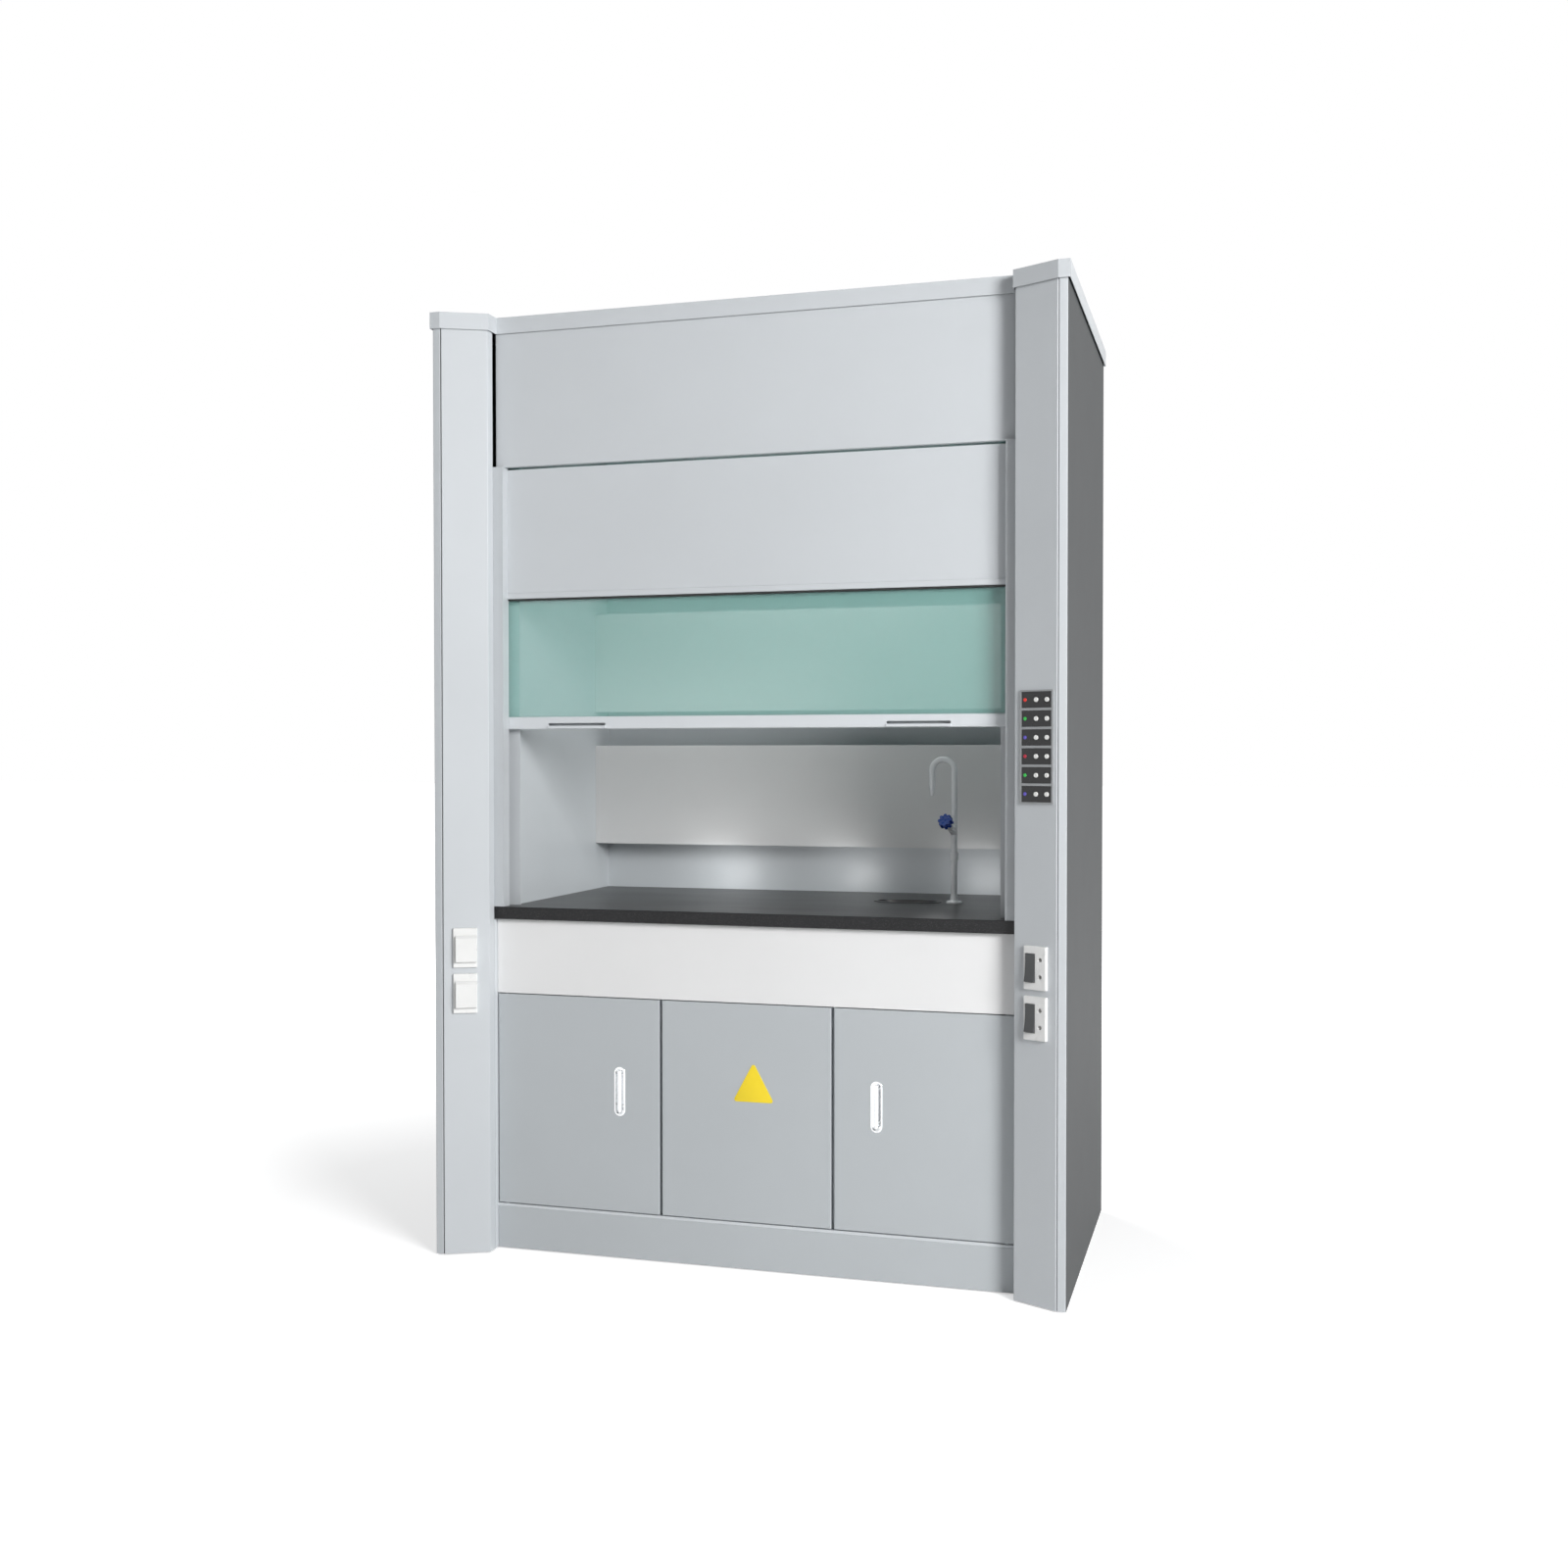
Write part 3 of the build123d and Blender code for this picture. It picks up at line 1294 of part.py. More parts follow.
# Counterweight: a bar that balances the glass and its rail, with bosses for the cables
sash_mass = sash_glass.part.volume * glass_density + sash_rail.part.volume * aluminium_density
weight_length = 2 * (opening_x + guide_web_outset - weight_end_gap)
weight_height = sash_mass / (weight_length * weight_thickness * steel_density)
weight_bar_top = weight_top - weight_boss_height
weight_bottom = weight_bar_top - weight_height
with BuildPart() as counterweight:
    with BuildSketch(Plane.XZ.offset(-weight_y)):
        with Locations((0, (weight_bottom + weight_bar_top) / 2)):
            Rectangle(weight_length, weight_height)
    extrude(amount=weight_thickness / 2, both=True)
    with BuildSketch(Plane.XY.offset(weight_bar_top)):
        with Locations((-cable_x, weight_y), (cable_x, weight_y)):
            Circle(weight_boss_diameter / 2)
    extrude(amount=weight_boss_height)
save(counterweight, "counterweight")


# Guides of the counterweight, two channels on the back panel
with BuildPart() as weight_guides:
    guide_bottom = weight_bottom - sash_raise - guide_overrun
    guide_front_y = weight_y - weight_thickness / 2 - weight_slack - steel_sheet
    guide_back_y = back_y - steel_sheet
    guide_x = opening_x + guide_web_outset + steel_sheet
    for side in (-1, 1):
        with BuildSketch(Plane.XY.offset(guide_bottom)):
            with BuildLine():
                Polyline(
                    (side * (guide_x - guide_reach), guide_front_y),
                    (side * guide_x, guide_front_y),
                    (side * guide_x, guide_back_y),
                    (side * (guide_x - guide_reach), guide_back_y),
                )
                offset(amount=steel_sheet, side=Side.LEFT if side > 0 else Side.RIGHT)
            make_face()
        extrude(amount=track_top - guide_bottom)
save(weight_guides, "weight_guides")


# Brackets that carry the two pulley shafts: one pair on the tracks, one pair on the guides
with BuildPart() as pulley_brackets:
    bracket_bottom = shaft_z - bracket_height
    front_foot = (slot_wall_y, liner_front_y)
    rear_foot = (guide_front_y, guide_back_y)
    for plate_x, axis_y, foot in (
        (opening_x, front_shaft_y, front_foot),
        (guide_x, rear_shaft_y, rear_foot),
    ):
        with BuildSketch(Plane.YZ.offset(plate_x)):
            with Locations(((foot[0] + foot[1]) / 2, bracket_bottom + bracket_foot / 2)):
                Rectangle(foot[1] - foot[0], bracket_foot)
            with Locations((axis_y, shaft_z)):
                Circle(bracket_nose / 2)
            make_hull()
        extrude(amount=bracket_thickness)
        with BuildSketch(Plane.YZ.offset(plate_x)):
            with Locations((axis_y, shaft_z)):
                Circle(bracket_boss / 2)
        extrude(amount=bracket_thickness + bracket_boss_length)
        with BuildSketch(Plane.YZ.offset(plate_x)):
            with Locations((axis_y, shaft_z)):
                Circle(shaft_diameter / 2 + running_gap)
        extrude(amount=bracket_thickness + bracket_boss_length, mode=Mode.SUBTRACT)
    mirror(about=Plane.YZ)
save(pulley_brackets, "pulley_brackets")


def make_pulley(side, axis_y, hub_end):
    """Grooved pulley with a pierced web and a hub that reaches to its bracket."""
    groove_radius = cable_diameter / 2 + groove_gap
    hub_start = cable_x - pulley_width / 2
    wheel_plane = Plane(origin=(0, axis_y, shaft_z), x_dir=(side, 0, 0), z_dir=(0, -side, 0))
    with BuildPart() as piece:
        with BuildSketch(wheel_plane):
            with Locations(((hub_start + hub_end) / 2, pulley_hub / 4)):
                Rectangle(hub_end - hub_start, pulley_hub / 2)
            with Locations((cable_x, pulley_edge / 2)):
                Rectangle(pulley_web, pulley_edge)
            with Locations((cable_x, pulley_edge - pulley_rim_depth / 2)):
                Rectangle(pulley_width, pulley_rim_depth)
            with Locations(((hub_start + hub_end) / 2, shaft_diameter / 4 + running_gap / 2)):
                Rectangle(
                    hub_end - hub_start, shaft_diameter / 2 + running_gap, mode=Mode.SUBTRACT
                )
            with Locations((cable_x, pulley_radius)):
                Circle(groove_radius, mode=Mode.SUBTRACT)
            with BuildLine():
                Polyline(
                    (cable_x - groove_radius, pulley_radius),
                    (cable_x + groove_radius, pulley_radius),
                    (cable_x + groove_radius + groove_flare, pulley_edge),
                    (cable_x - groove_radius - groove_flare, pulley_edge),
                    close=True,
                )
            make_face(mode=Mode.SUBTRACT)
        revolve(axis=Axis((0, axis_y, shaft_z), (1, 0, 0)))
        hole_circle = (pulley_hub / 2 + pulley_edge - pulley_rim_depth) / 2
        with BuildSketch(Plane.YZ.offset(side * cable_x)):
            with Locations((axis_y, shaft_z)):
                with PolarLocations(hole_circle, pulley_holes):
                    Circle(pulley_hole / 2)
        extrude(amount=pulley_width, both=True, mode=Mode.SUBTRACT)
    return piece.part


def make_shaft(axis_y, plate_x):
    """Cross shaft that ties the left and right pulleys, from bracket to bracket."""
    shaft_half = plate_x + bracket_thickness + bracket_boss_length + shaft_end
    left_pulley = make_pulley(-1, axis_y, plate_x - seat_gap)
    right_pulley = make_pulley(1, axis_y, plate_x - seat_gap)
    with BuildPart() as piece:
        with BuildSketch(Plane.YZ):
            with Locations((axis_y, shaft_z)):
                Circle(shaft_diameter / 2)
        extrude(amount=shaft_half, both=True)
        add(left_pulley)
        add(right_pulley)
    return piece


save(make_shaft(front_shaft_y, opening_x), "front_pulley_shaft")
save(make_shaft(rear_shaft_y, guide_x), "rear_pulley_shaft")


# Cables from the clamps on the rail, over both pulleys, down to the counterweight
with BuildPart() as sash_cables:
    cable_top = shaft_z + pulley_radius
    with BuildLine(Plane.YZ.offset(cable_x)) as route:
        FilletPolyline(
            (sash_y, rail_top - clamp_drop + cable_gap),
            (sash_y, cable_top),
            (weight_y, cable_top),
            (weight_y, weight_top + cable_gap),
            radius=pulley_radius,
        )
    with BuildSketch(Plane(origin=route.line @ 0, z_dir=route.line % 0)):
        Circle(cable_diameter / 2)
    sweep()
    mirror(about=Plane.YZ)
save(sash_cables, "sash_cables")
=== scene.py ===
"""Looks of a walk-up chemical fume hood: finishes, small fittings, studio light and camera.

Everything is in metres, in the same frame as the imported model: X to the right, the sash faces -Y, Z up.
"""

import json
from math import atan2, cos, pi, radians, sin

import bmesh
import bpy
from mathutils import Matrix, Vector


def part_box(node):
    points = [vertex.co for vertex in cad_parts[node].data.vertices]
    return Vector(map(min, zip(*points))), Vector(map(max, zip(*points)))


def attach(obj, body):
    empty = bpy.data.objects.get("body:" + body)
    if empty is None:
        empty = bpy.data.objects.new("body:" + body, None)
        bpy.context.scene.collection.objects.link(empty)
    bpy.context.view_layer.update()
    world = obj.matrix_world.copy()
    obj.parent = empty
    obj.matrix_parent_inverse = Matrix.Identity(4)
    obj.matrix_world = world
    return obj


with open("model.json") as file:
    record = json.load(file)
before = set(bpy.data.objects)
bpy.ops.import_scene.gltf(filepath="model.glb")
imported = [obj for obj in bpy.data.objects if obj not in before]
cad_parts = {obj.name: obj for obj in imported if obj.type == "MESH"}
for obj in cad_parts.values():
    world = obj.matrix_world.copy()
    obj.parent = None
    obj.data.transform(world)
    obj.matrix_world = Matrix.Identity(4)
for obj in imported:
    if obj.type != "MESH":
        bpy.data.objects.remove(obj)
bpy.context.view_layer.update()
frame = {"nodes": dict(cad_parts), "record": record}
nodes = frame["nodes"]
MM = 0.001

# Light levels
ambient_level = 0.225
key_power = 440.0
fill_power = 3.0
rear_power = 150.0
lamp_glow = 1.4
chamber_power = 0.6
slot_power = 0.13
sink_power = 0.04
indicator_glow = 0.35
floor_glow = 0.50
floor_fade = (1.4, 3.5)
floor_half = 60.0

# Where the lights stand and what they point at
aim = (0, 0, 1.1)
key_place, key_size = (4.9, -4.4, 3.0), 2.6
fill_place, fill_size = (-2.5, -5.5, 1.6), 3.0
rear_place, rear_size = (-4.0, 4.5, 3.4), 3.0
chamber_light_xs, chamber_light_size = (-0.35, 0.0, 0.35), 0.30
chamber_light_y, chamber_light_z = -0.05, 1.95
chamber_aim_y, chamber_aim_z = 0.20, 1.4
slot_light_xs, slot_light_size = (-0.25, 0.10, 0.45), 0.10
slot_light_y, slot_light_z = 0.17, 0.86
slot_aim_y, slot_aim_z = 0.31, 0.93
sink_light_place, sink_aim, sink_light_size = (0.38, 0.02, 0.99), (0.38, -0.20, 0.834), 0.06

# Camera, found by fitting a pinhole camera to the casing's edges: angles in degrees
camera_place = (1.14072, -3.9179, 1.19752)
camera_pitch, camera_roll, camera_turn = 0.99, 0.03, 16.22
camera_sensor, camera_lens = 36.0, 37.41

# Colours, linear
paint_grey = (0.555, 0.580, 0.602)
# Side panels' outer faces: partly a darker paint, darkened further as painted shade
side_coat_and_shade_grey = (0.048, 0.052, 0.054)
apron_white = (0.78, 0.78, 0.78)
door_grey = (0.465, 0.492, 0.510)
liner_grey = (0.52, 0.55, 0.57)
baffle_grey = (0.60, 0.60, 0.60)
resin_black = (0.012, 0.012, 0.013)
sash_teal = (0.34, 0.68, 0.62)
resin_fleck = (0.06, 0.06, 0.062)
glass_edge = (0.03, 0.22, 0.17)
socket_white = (0.80, 0.80, 0.79)
plate_yellow = (0.93, 0.70, 0.02)
duct_grey = (0.42, 0.44, 0.45)
sink_black = (0.018, 0.018, 0.019)
chrome_silver = (0.86, 0.87, 0.88)
enamel_white = (0.84, 0.85, 0.86)
knob_blue = (0.012, 0.055, 0.32)
bezel_grey = (0.33, 0.34, 0.35)
module_black = (0.012, 0.012, 0.013)
button_white = (0.86, 0.86, 0.84)
rocker_grey = (0.055, 0.058, 0.060)
cable_grey = (0.45, 0.45, 0.46)
pulley_grey = (0.52, 0.52, 0.53)
zinc_grey = (0.56, 0.58, 0.60)
foot_grey = (0.55, 0.56, 0.58)
weight_grey = (0.06, 0.063, 0.067)
screw_grey = (0.60, 0.61, 0.62)
rubber_black = (0.012, 0.012, 0.012)
opal_dark, opal_light = (0.86, 0.87, 0.87), (0.95, 0.95, 0.95)
opal_glow = (1.0, 0.98, 0.94)
world_tint = (0.97, 0.985, 1.0)
floor_grey = (0.82, 0.82, 0.82)
lamp_colours = (
    (0.58, 0.02, 0.01), (0.02, 0.35, 0.05), (0.08, 0.06, 0.35),
    (0.35, 0.01, 0.03), (0.02, 0.35, 0.05), (0.08, 0.06, 0.35),
)


# Materials

def new_material(name):
    material = bpy.data.materials.new(name)
    material.use_nodes = True
    tree = material.node_tree
    return material, tree, tree.nodes["Principled BSDF"]


def noise(tree, size, stretch=(1, 1, 1), detail=3.0):
    """Noise whose features are about size metres across, in the row frame."""
    where = tree.nodes.new("ShaderNodeTexCoord")
    mapping = tree.nodes.new("ShaderNodeMapping")
    mapping.inputs["Scale"].default_value = [1 / (size * s) for s in stretch]
    texture = tree.nodes.new("ShaderNodeTexNoise")
    texture.inputs["Scale"].default_value = 1.0
    texture.inputs["Detail"].default_value = detail
    tree.links.new(where.outputs["Object"], mapping.inputs["Vector"])
    tree.links.new(mapping.outputs["Vector"], texture.inputs["Vector"])
    return texture.outputs["Fac"]


def spread(tree, source, low, high, start=0.3, end=0.7):
    """Turns a texture's values into the range from low to high."""
    ranged = tree.nodes.new("ShaderNodeMapRange")
    ranged.inputs["From Min"].default_value = start
    ranged.inputs["From Max"].default_value = end
    ranged.inputs["To Min"].default_value = low
    ranged.inputs["To Max"].default_value = high
    tree.links.new(source, ranged.inputs["Value"])
    return ranged.outputs["Result"]


def blended(tree, factor, first, second):
    """A colour between two, by a texture."""
    mix = tree.nodes.new("ShaderNodeMix")
    mix.data_type = "RGBA"
    tree.links.new(factor, mix.inputs["Factor"])
    for socket, colour in ((mix.inputs["A"], first), (mix.inputs["B"], second)):
        if isinstance(colour, tuple):
            socket.default_value = (*colour, 1.0)
        else:
            tree.links.new(colour, socket)
    return mix.outputs["Result"]


def scaled(colour, share):
    """A colour made lighter or darker, and no brighter than white."""
    return tuple(min(1.0, c * share) for c in colour)


def bump(tree, shader, heights, strength, depth):
    """Raises the surface by a texture, depth metres from its low to its high."""
    raised = tree.nodes.new("ShaderNodeBump")
    raised.inputs["Strength"].default_value = strength
    raised.inputs["Distance"].default_value = depth
    tree.links.new(heights, raised.inputs["Height"])
    tree.links.new(raised.outputs["Normal"], shader.inputs["Normal"])


def squareness(tree, axis):
    """How squarely a face is turned along an axis, either way: 1 is straight along it."""
    where = tree.nodes.new("ShaderNodeTexCoord")
    parts = tree.nodes.new("ShaderNodeSeparateXYZ")
    either_way = tree.nodes.new("ShaderNodeMath")
    either_way.operation = "ABSOLUTE"
    tree.links.new(where.outputs["Normal"], parts.inputs["Vector"])
    tree.links.new(parts.outputs[axis], either_way.inputs[0])
    return either_way.outputs["Value"]


def finish(name, colour, rough, metallic=0.0, shade=0.03, shade_size=0.35, rough_spread=0.05,
           grain=0.0015, grain_height=0.02, stretch=(1, 1, 1), coat=0.0, specular=0.5):
    """A surface with soft changes of shade, uneven gloss and a fine grain of a real size."""
    material, tree, shader = new_material(name)
    clouds = spread(tree, noise(tree, shade_size, stretch), 0.0, 1.0)
    tree.links.new(
        blended(tree, clouds, scaled(colour, 1 - shade), scaled(colour, 1 + shade)),
        shader.inputs["Base Color"],
    )
    smears = noise(tree, shade_size / 3, stretch, 5.0)
    tree.links.new(
        spread(tree, smears, rough - rough_spread, rough + rough_spread), shader.inputs["Roughness"]
    )
    bump(tree, shader, noise(tree, grain, stretch, 2.0), 0.35, grain_height * MM)
    shader.inputs["Metallic"].default_value = metallic
    shader.inputs["Coat Weight"].default_value = coat
    shader.inputs["Coat Roughness"].default_value = 0.2
    shader.inputs["Specular IOR Level"].default_value = specular
    return material


def paint(name, colour, rough=0.42):
    """Powder coat, with its fine orange peel."""
    return finish(name, colour, rough, shade=0.025, shade_size=0.6, grain=0.0022, grain_height=0.03)


def metal(name, colour, rough, along):
    """Metal with a brushed or drawn grain along one axis."""
    stretch = [1.0, 1.0, 1.0]
    stretch["XYZ".index(along)] = 60.0
    return finish(name, colour, rough, metallic=1.0, shade=0.06, shade_size=0.004, rough_spread=0.06,
                  grain=0.0006, grain_height=0.01, stretch=tuple(stretch))


def plastic(name, colour, rough):
    """Moulded plastic, with a faint texture."""
    return finish(name, colour, rough, shade=0.02, shade_size=0.08, rough_spread=0.04,
                  grain=0.0008, grain_height=0.008)


def side_panel_material():
    """Dark grey on the faces turned along X, partly a darker powder coat and partly painted shade, with
    the casing's grey on the folded edges.
    """
    material = finish("side_panel_coat_and_painted_shade", side_coat_and_shade_grey, 0.55, shade=0.01, rough_spread=0.005,
                      grain=0.0022, grain_height=0.006, specular=0.2)
    tree = material.node_tree
    shader = tree.nodes["Principled BSDF"]
    dark = shader.inputs["Base Color"].links[0].from_socket
    # Faces turned along X take the dark grey, which is partly painted shade
    face = spread(tree, squareness(tree, "X"), 0.0, 1.0, 0.6, 0.9)
    tree.links.new(blended(tree, face, paint_grey, dark), shader.inputs["Base Color"])
    return material


def resin_material():
    """Black epoxy worktop: a satin surface with fine pale and dark flecks."""
    material, tree, shader = new_material("epoxy_resin")
    flecks = spread(tree, noise(tree, 0.0016, detail=1.0), 0.0, 1.0, 0.60, 0.72)
    clouds = spread(tree, noise(tree, 0.25), 0.0, 1.0)
    ground = blended(tree, clouds, scaled(resin_black, 0.85), scaled(resin_black, 1.25))
    tree.links.new(blended(tree, flecks, ground, resin_fleck), shader.inputs["Base Color"])
    wiped = noise(tree, 0.12, (3, 1, 1), 6.0)
    tree.links.new(spread(tree, wiped, 0.28, 0.32), shader.inputs["Roughness"])
    shader.inputs["Specular IOR Level"].default_value = 0.25
    bump(tree, shader, noise(tree, 0.004, detail=4.0), 0.25, 0.02 * MM)
    return material


def glass_material():
    """Toughened glass, tinted teal: clear through its faces and deep green along its cut edges."""
    material, tree, shader = new_material("tinted_glass")
    frontal = squareness(tree, "Y")
    face = spread(tree, frontal, 0.0, 1.0, 0.4, 0.8)
    tree.links.new(blended(tree, face, glass_edge, sash_teal), shader.inputs["Base Color"])
    tree.links.new(spread(tree, frontal, 0.92, 0.29, 0.4, 0.8), shader.inputs["Alpha"])
    smears = noise(tree, 0.22, (1, 1, 2.5), 5.0)
    tree.links.new(spread(tree, smears, 0.03, 0.09), shader.inputs["Roughness"])
    return material


def indicator_material(rows):
    """Six small lamps in a column, each with its own colour and a soft glow."""
    material, tree, shader = new_material("indicator_lamp")
    where = tree.nodes.new("ShaderNodeTexCoord")
    parts = tree.nodes.new("ShaderNodeSeparateXYZ")
    tree.links.new(where.outputs["Object"], parts.inputs["Vector"])
    low, high = min(rows), max(rows)
    margin, lens_reach = 0.02, 0.018
    height = spread(tree, parts.outputs["Z"], 0.0, 1.0, low - margin, high + margin)
    ramp = tree.nodes.new("ShaderNodeValToRGB")
    ramp.color_ramp.interpolation = "CONSTANT"
    stops = ramp.color_ramp.elements
    ordered = sorted(zip(rows, lamp_colours))
    while len(stops) < len(ordered):
        stops.new(0.5)
    span = high - low + 2 * margin
    for index, (row, colour) in enumerate(ordered):
        stops[index].position = max(0.0, (row - low - lens_reach + margin) / span)
        stops[index].color = (*colour, 1.0)
    stops[0].position = 0.0
    tree.links.new(height, ramp.inputs["Fac"])
    tree.links.new(ramp.outputs["Color"], shader.inputs["Base Color"])
    tree.links.new(ramp.outputs["Color"], shader.inputs["Emission Color"])
    shader.inputs["Emission Strength"].default_value = indicator_glow
    shader.inputs["Roughness"].default_value = 0.2
    return material


def lamp_material():
    """Opal cover of the chamber's lamp: it glows where it faces down."""
    material, tree, shader = new_material("opal_lamp_cover")
    where = tree.nodes.new("ShaderNodeTexCoord")
    parts = tree.nodes.new("ShaderNodeSeparateXYZ")
    tree.links.new(where.outputs["Normal"], parts.inputs["Vector"])
    down = spread(tree, parts.outputs["Z"], 1.0, 0.0, -0.9, -0.5)
    ribs = noise(tree, 0.004, (1, 40, 40), 1.0)
    tree.links.new(blended(tree, ribs, opal_dark, opal_light), shader.inputs["Base Color"])
    glow = tree.nodes.new("ShaderNodeMath")
    glow.operation = "MULTIPLY"
    glow.inputs[1].default_value = lamp_glow
    tree.links.new(down, glow.inputs[0])
    tree.links.new(glow.outputs["Value"], shader.inputs["Emission Strength"])
    shader.inputs["Emission Color"].default_value = (*opal_glow, 1.0)
    shader.inputs["Roughness"].default_value = 0.3
    return material


def middle_height(name):
    low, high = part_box(name)
    return (low.z + high.z) / 2


module_rows = [middle_height(f"start_button_{i}") for i in range(1, len(lamp_colours) + 1)]
casing = paint("casing_powder_coat", paint_grey)
side_coat_and_shade = side_panel_material()
apron = paint("apron_powder_coat", apron_white)
doors = paint("door_powder_coat", door_grey)
carcass = paint("carcass_powder_coat", scaled(paint_grey, 1.1))
track_metal = finish("track_coating", scaled(paint_grey, 0.9), 0.38, shade_size=0.5, coat=0.1)
rail_metal = finish("rail_coating", scaled(paint_grey, 1.12), 0.34, shade_size=0.3, coat=0.1)
duct = plastic("duct_polypropylene", duct_grey, 0.45)
liner = finish("liner_laminate", liner_grey, 0.36, shade_size=0.5, grain=0.004)
baffle = finish("baffle_laminate", baffle_grey, 0.40, shade_size=0.4, grain=0.004)
lamp_cover = lamp_material()
lens = indicator_material(module_rows)
resin = resin_material()
sink = plastic("sink_polypropylene", sink_black, 0.32)
chrome = metal("polished_metal", chrome_silver, 0.14, "Z")
enamel = finish("tap_epoxy_coat", enamel_white, 0.22, shade=0.015, shade_size=0.05, coat=0.4,
                grain=0.0015, grain_height=0.01)
knob = finish("knob_blue", knob_blue, 0.28, shade=0.05, shade_size=0.02, coat=0.3, grain=0.0008)
bezel = plastic("bezel_grey", bezel_grey, 0.4)
module = plastic("module_black", module_black, 0.3)
button = plastic("button_white", button_white, 0.3)
socket = plastic("socket_white", socket_white, 0.3)
rocker = plastic("rocker_dark", rocker_grey, 0.32)
glass = glass_material()
cable = metal("wire_rope", cable_grey, 0.35, "X")
pulley = metal("turned_steel", pulley_grey, 0.28, "X")
bracket = metal("zinc_plated_steel", zinc_grey, 0.38, "Z")
weight = paint("weight_paint", weight_grey, 0.5)
foot = metal("zinc_plated_feet", foot_grey, 0.35, "X")
screw = metal("stainless_screw", screw_grey, 0.26, "X")
rubber = finish("seal_rubber", rubber_black, 0.62, shade=0.15, shade_size=0.03, grain=0.001)
yellow = plastic("plate_yellow", plate_yellow, 0.38)

materials = {
    "casing_paint": casing, "apron_paint": apron, "door_paint": doors, "carcass_paint": carcass,
    "track_aluminium": track_metal, "rail_aluminium": rail_metal, "duct_plastic": duct,
    "liner_board": liner, "baffle_board": baffle, "lamp_cover": lamp_cover, "lens": lens,
    "worktop_resin": resin, "sink_plastic": sink, "handle_chrome": chrome, "tap_enamel": enamel,
    "knob_plastic": knob, "bezel_plastic": bezel, "module_plastic": module, "button_plastic": button,
    "socket_plastic": socket, "rocker_plastic": rocker, "sash_glass": glass, "cable_steel": cable,
    "pulley_steel": pulley, "bracket_steel": bracket, "weight_steel": weight, "foot_steel": foot,
}
for entry in frame["record"]["subparts"]:
    slots = nodes[entry["node"]].material_slots
    for place in slots:
        place.material = materials[entry["material_slot"]]
# The side panels get the dark grey that is partly a darker paint and partly painted shade
for name in ("left_side_panel", "right_side_panel"):
    for place in nodes[name].material_slots:
        place.material = side_coat_and_shade


# Small fittings

smooth_below = 40
screw_radius, screw_height = 4.2 * MM, 2.0 * MM


def finished(name, bm, material, body):
    """Turns a bmesh into a piece that rides on a body."""
    mesh = bpy.data.meshes.new(name)
    bmesh.ops.recalc_face_normals(bm, faces=bm.faces)
    bm.to_mesh(mesh)
    bm.free()
    mesh.materials.append(material)
    piece = bpy.data.objects.new(name, mesh)
    bpy.context.scene.collection.objects.link(piece)
    mesh.shade_smooth()
    mesh.set_sharp_from_angle(angle=radians(smooth_below))
    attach(piece, body)


def prism(bm, outline, depth, place, rounding=0.0):
    """A flat outline with depth, put in place by a matrix, its far rim rounded if asked."""
    low = [bm.verts.new(place @ Vector((x, y, 0))) for x, y in outline]
    high = [bm.verts.new(place @ Vector((x, y, depth))) for x, y in outline]
    count = len(outline)
    faces = [bm.faces.new(low[::-1]), bm.faces.new(high)]
    for i in range(count):
        faces.append(bm.faces.new((low[i], low[(i + 1) % count], high[(i + 1) % count], high[i])))
    if rounding:
        rim = list(faces[1].edges)
        bmesh.ops.bevel(bm, geom=rim, offset=rounding, segments=3, profile=0.5, affect="EDGES")


def facing(origin, normal):
    """A matrix whose Z is the normal of an upright face, with Y upward."""
    z = Vector(normal).normalized()
    x = Vector((0, 0, 1)).cross(z).normalized()
    turned = Matrix((x, z.cross(x), z)).transposed().to_4x4()
    return Matrix.Translation(Vector(origin)) @ turned


def screw_head(bm, place, radius, height):
    """A pan head with a cross recess."""
    sides = 20
    rings = [(1.0, 0.0), (1.0, 0.45), (0.90, 0.80), (0.68, 1.0)]
    loops = []
    for share, rise in rings:
        loop = []
        for i in range(sides):
            angle = 2 * pi * i / sides
            point = Vector((radius * share * cos(angle), radius * share * sin(angle), height * rise))
            loop.append(bm.verts.new(place @ point))
        loops.append(loop)
    for lower, upper in zip(loops, loops[1:]):
        for i in range(sides):
            bm.faces.new((lower[i], lower[(i + 1) % sides], upper[(i + 1) % sides], upper[i]))
    bm.faces.new(loops[0][::-1])
    arm, half, floor_share, floor_rise = 0.46 * radius, 0.11 * radius, 0.8, 0.45
    cross = []
    for quarter in range(4):
        turn = Matrix.Rotation(quarter * pi / 2, 4, "Z")
        cross += [turn @ Vector((x, y, 0)) for x, y in ((arm, -half), (arm, half), (half, half))]
    count = len(cross)
    top = [bm.verts.new(place @ (v + Vector((0, 0, height)))) for v in cross]
    floor = [bm.verts.new(place @ (v * floor_share + Vector((0, 0, floor_rise * height)))) for v in cross]
    for i in range(count):
        bm.faces.new((top[i], top[(i + 1) % count], floor[(i + 1) % count], floor[i]))
    bm.faces.new(floor)
    rim = []
    for loop in (loops[-1], top):
        for i in range(len(loop)):
            pair = (loop[i], loop[(i + 1) % len(loop)])
            rim.append(bm.edges.get(pair) or bm.edges.new(pair))
    bmesh.ops.triangle_fill(bm, use_beauty=True, edges=rim)


def screws(name, places, normal):
    """Screws at several places, each turned a little further than the last."""
    bm = bmesh.new()
    turn_step = 0.7
    for index, point in enumerate(places):
        turn = Matrix.Rotation(index * turn_step, 4, "Z")
        screw_head(bm, facing(point, normal) @ turn, screw_radius, screw_height)
    finished(name, bm, screw, "root")


def between(low, high, count):
    """Evenly spaced values, the two ends with them."""
    return [low + (high - low) * i / (count - 1) for i in range(count)]


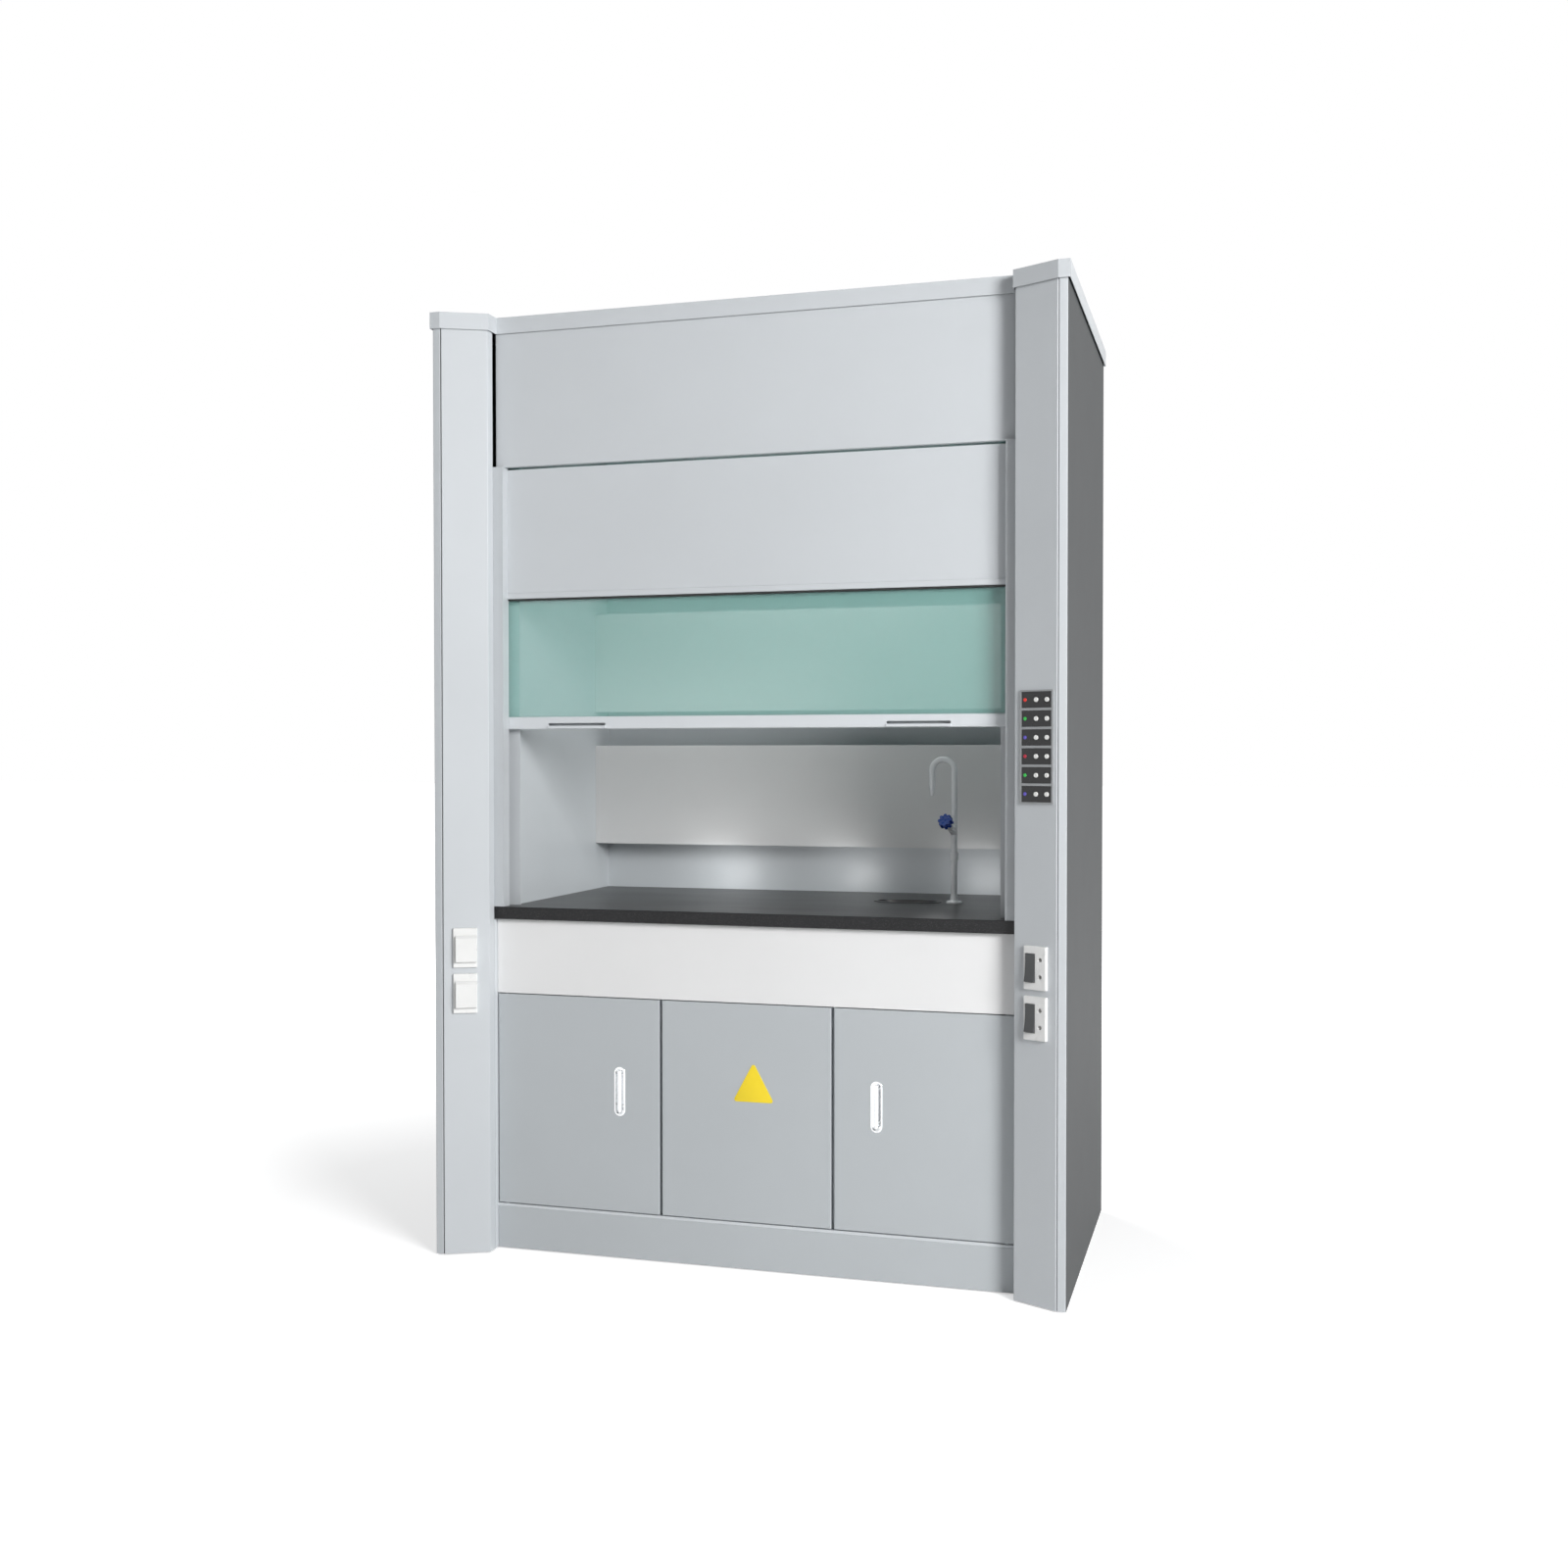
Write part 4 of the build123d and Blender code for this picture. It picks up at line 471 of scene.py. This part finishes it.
def triangle_plate():
    """A plain yellow triangular plate on the centre panel."""
    base, tall, corner, thick = 100 * MM, 92.5 * MM, 5 * MM, 0.8 * MM
    arc_steps, edge_rounding = 6, 0.25 * MM
    middle_x, base_z = 20.1 * MM, 394 * MM
    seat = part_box("centre_panel")[0].y
    corners = [Vector((-base / 2, 0)), Vector((base / 2, 0)), Vector((0, tall))]
    outline = []
    for i in range(3):
        here, before, after = corners[i], corners[i - 1], corners[(i + 1) % 3]
        to_before, to_after = (before - here).normalized(), (after - here).normalized()
        half_angle = to_before.angle(to_after) / 2
        middle = here + (to_before + to_after).normalized() * corner / sin(half_angle)
        turn = pi - 2 * half_angle
        first = atan2(*reversed(here - middle)) - turn / 2
        for step in range(arc_steps + 1):
            angle = first + turn * step / arc_steps
            outline.append(middle + corner * Vector((cos(angle), sin(angle))))
    bm = bmesh.new()
    place = facing((middle_x, seat, base_z), (0, -1, 0))
    prism(bm, [(p.x, p.y) for p in outline], thick, place, edge_rounding)
    finished("triangle_plate", bm, yellow, "root")


def strip(bm, outline, start, end):
    """A moulded strip: an outline in the plane across X, drawn along X."""
    place = Matrix((
        (0, 0, 1, start), (1, 0, 0, 0), (0, 1, 0, 0), (0, 0, 0, 1),
    ))
    prism(bm, outline, end - start, place)


def wiper_seal():
    """The rubber strip under the lintel that wipes the sash."""
    low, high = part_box("lintel_panel")
    glass_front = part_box("sash_glass")[0].y
    back, top = high.y, low.z
    depth, height, end_gap = 5 * MM, 3.5 * MM, 1 * MM
    lip_gap, lip_drop = 0.6 * MM, 4 * MM
    root_gap, root_drop = 1.2 * MM, 1 * MM
    tip_gap, tip_drop = 2.2 * MM, 4.5 * MM
    bm = bmesh.new()
    outline = [
        (back - depth, top), (back, top), (glass_front - root_gap, top - root_drop),
        (glass_front - lip_gap, top - lip_drop), (glass_front - tip_gap, top - tip_drop),
        (back - depth, top - height),
    ]
    strip(bm, outline, low.x + end_gap, high.x - end_gap)
    finished("wiper_seal", bm, rubber, "root")


def casing_screws():
    """Screws that hold the back panel."""
    low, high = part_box("back_panel")
    inset, column_count, row_count = 14 * MM, 7, 6
    places = []
    for z in between(low.z + inset * 3, high.z - inset * 3, column_count):
        places += [(x, high.y, z) for x in (low.x + inset, high.x - inset)]
    for x in between(low.x + inset, high.x - inset, row_count)[1:-1]:
        places += [(x, high.y, z) for z in (low.z + inset, high.z - inset)]
    screws("back_panel_screws", places, (0, 1, 0))


triangle_plate()
wiper_seal()
casing_screws()


# Floor, light and camera

def seen_or_reflected(tree):
    """One where a ray comes from the eye, a reflection or through glass."""
    path = tree.nodes.new("ShaderNodeLightPath")
    total = path.outputs["Is Camera Ray"]
    for name in ("Is Glossy Ray", "Is Transmission Ray"):
        larger = tree.nodes.new("ShaderNodeMath")
        larger.operation = "MAXIMUM"
        tree.links.new(total, larger.inputs[0])
        tree.links.new(path.outputs[name], larger.inputs[1])
        total = larger.outputs["Value"]
    return total


def studio_world():
    """White where it is seen, and a low even level for the light that it gives."""
    world = bpy.data.worlds.new("studio")
    bpy.context.scene.world = world
    world.use_nodes = True
    tree = world.node_tree
    tree.nodes.clear()
    soft = tree.nodes.new("ShaderNodeBackground")
    soft.inputs["Color"].default_value = (*world_tint, 1.0)
    soft.inputs["Strength"].default_value = ambient_level
    white = tree.nodes.new("ShaderNodeBackground")
    white.inputs["Color"].default_value = (1, 1, 1, 1)
    white.inputs["Strength"].default_value = 1.0
    mix = tree.nodes.new("ShaderNodeMixShader")
    out = tree.nodes.new("ShaderNodeOutputWorld")
    tree.links.new(seen_or_reflected(tree), mix.inputs["Fac"])
    tree.links.new(soft.outputs["Background"], mix.inputs[1])
    tree.links.new(white.outputs["Background"], mix.inputs[2])
    tree.links.new(mix.outputs["Shader"], out.inputs["Surface"])


def studio_floor():
    """A wide pale floor that keeps the object's shadow."""
    material = bpy.data.materials.new("floor")
    material.use_nodes = True
    tree = material.node_tree
    tree.nodes.clear()
    diffuse = tree.nodes.new("ShaderNodeBsdfDiffuse")
    diffuse.inputs["Color"].default_value = (*floor_grey, 1)
    where = tree.nodes.new("ShaderNodeTexCoord")
    distance = tree.nodes.new("ShaderNodeVectorMath")
    distance.operation = "LENGTH"
    tree.links.new(where.outputs["Object"], distance.inputs[0])
    strength = spread(tree, distance.outputs["Value"], floor_glow, 1.0, *floor_fade)
    seen = seen_or_reflected(tree)
    level = tree.nodes.new("ShaderNodeMath")
    level.operation = "MULTIPLY"
    tree.links.new(strength, level.inputs[0])
    tree.links.new(seen, level.inputs[1])
    glow = tree.nodes.new("ShaderNodeEmission")
    glow.inputs["Color"].default_value = (1, 1, 1, 1)
    tree.links.new(level.outputs["Value"], glow.inputs["Strength"])
    add = tree.nodes.new("ShaderNodeAddShader")
    out = tree.nodes.new("ShaderNodeOutputMaterial")
    tree.links.new(diffuse.outputs["BSDF"], add.inputs[0])
    tree.links.new(glow.outputs["Emission"], add.inputs[1])
    tree.links.new(add.outputs["Shader"], out.inputs["Surface"])
    bm = bmesh.new()
    corners = [(x * floor_half, y * floor_half, 0) for x, y in ((-1, -1), (1, -1), (1, 1), (-1, 1))]
    bm.faces.new([bm.verts.new(corner) for corner in corners])
    mesh = bpy.data.meshes.new("floor")
    bm.to_mesh(mesh)
    bm.free()
    mesh.materials.append(material)
    floor = bpy.data.objects.new("floor", mesh)
    bpy.context.scene.collection.objects.link(floor)


def soft_light(name, place, target, size, power):
    """A white round lamp that lights the object and isn't seen itself."""
    lamp = bpy.data.lights.new(name, "AREA")
    lamp.shape = "DISK"
    lamp.size = size
    lamp.energy = power
    holder = bpy.data.objects.new(name, lamp)
    holder.location = place
    holder.rotation_euler = (Vector(target) - Vector(place)).to_track_quat("-Z", "Y").to_euler()
    holder.visible_camera = False
    bpy.context.scene.collection.objects.link(holder)


def chamber_lights():
    """Hidden lights for the chamber's bounced light, the glow at the slot and the one by the sink."""
    for x in chamber_light_xs:
        place, target = (x, chamber_light_y, chamber_light_z), (x, chamber_aim_y, chamber_aim_z)
        soft_light(f"chamber_light_{x}", place, target, chamber_light_size, chamber_power)
    for x in slot_light_xs:
        place, target = (x, slot_light_y, slot_light_z), (x, slot_aim_y, slot_aim_z)
        soft_light(f"slot_light_{x}", place, target, slot_light_size, slot_power)
    soft_light("sink_light", sink_light_place, sink_aim, sink_light_size, sink_power)


def camera():
    """The photograph's viewpoint."""
    view = bpy.data.cameras.new("camera")
    view.sensor_fit = "HORIZONTAL"
    view.sensor_width = camera_sensor
    view.lens = camera_lens
    holder = bpy.data.objects.new("camera", view)
    holder.location = camera_place
    holder.rotation_euler = (radians(90 - camera_pitch), radians(camera_roll), radians(camera_turn))
    bpy.context.scene.collection.objects.link(holder)
    bpy.context.scene.camera = holder


studio_world()
studio_floor()
soft_light("key", key_place, aim, key_size, key_power)
soft_light("front_fill", fill_place, aim, fill_size, fill_power)
soft_light("rear_fill", rear_place, aim, rear_size, rear_power)
chamber_lights()
camera()
bpy.context.scene.view_settings.view_transform = "Standard"
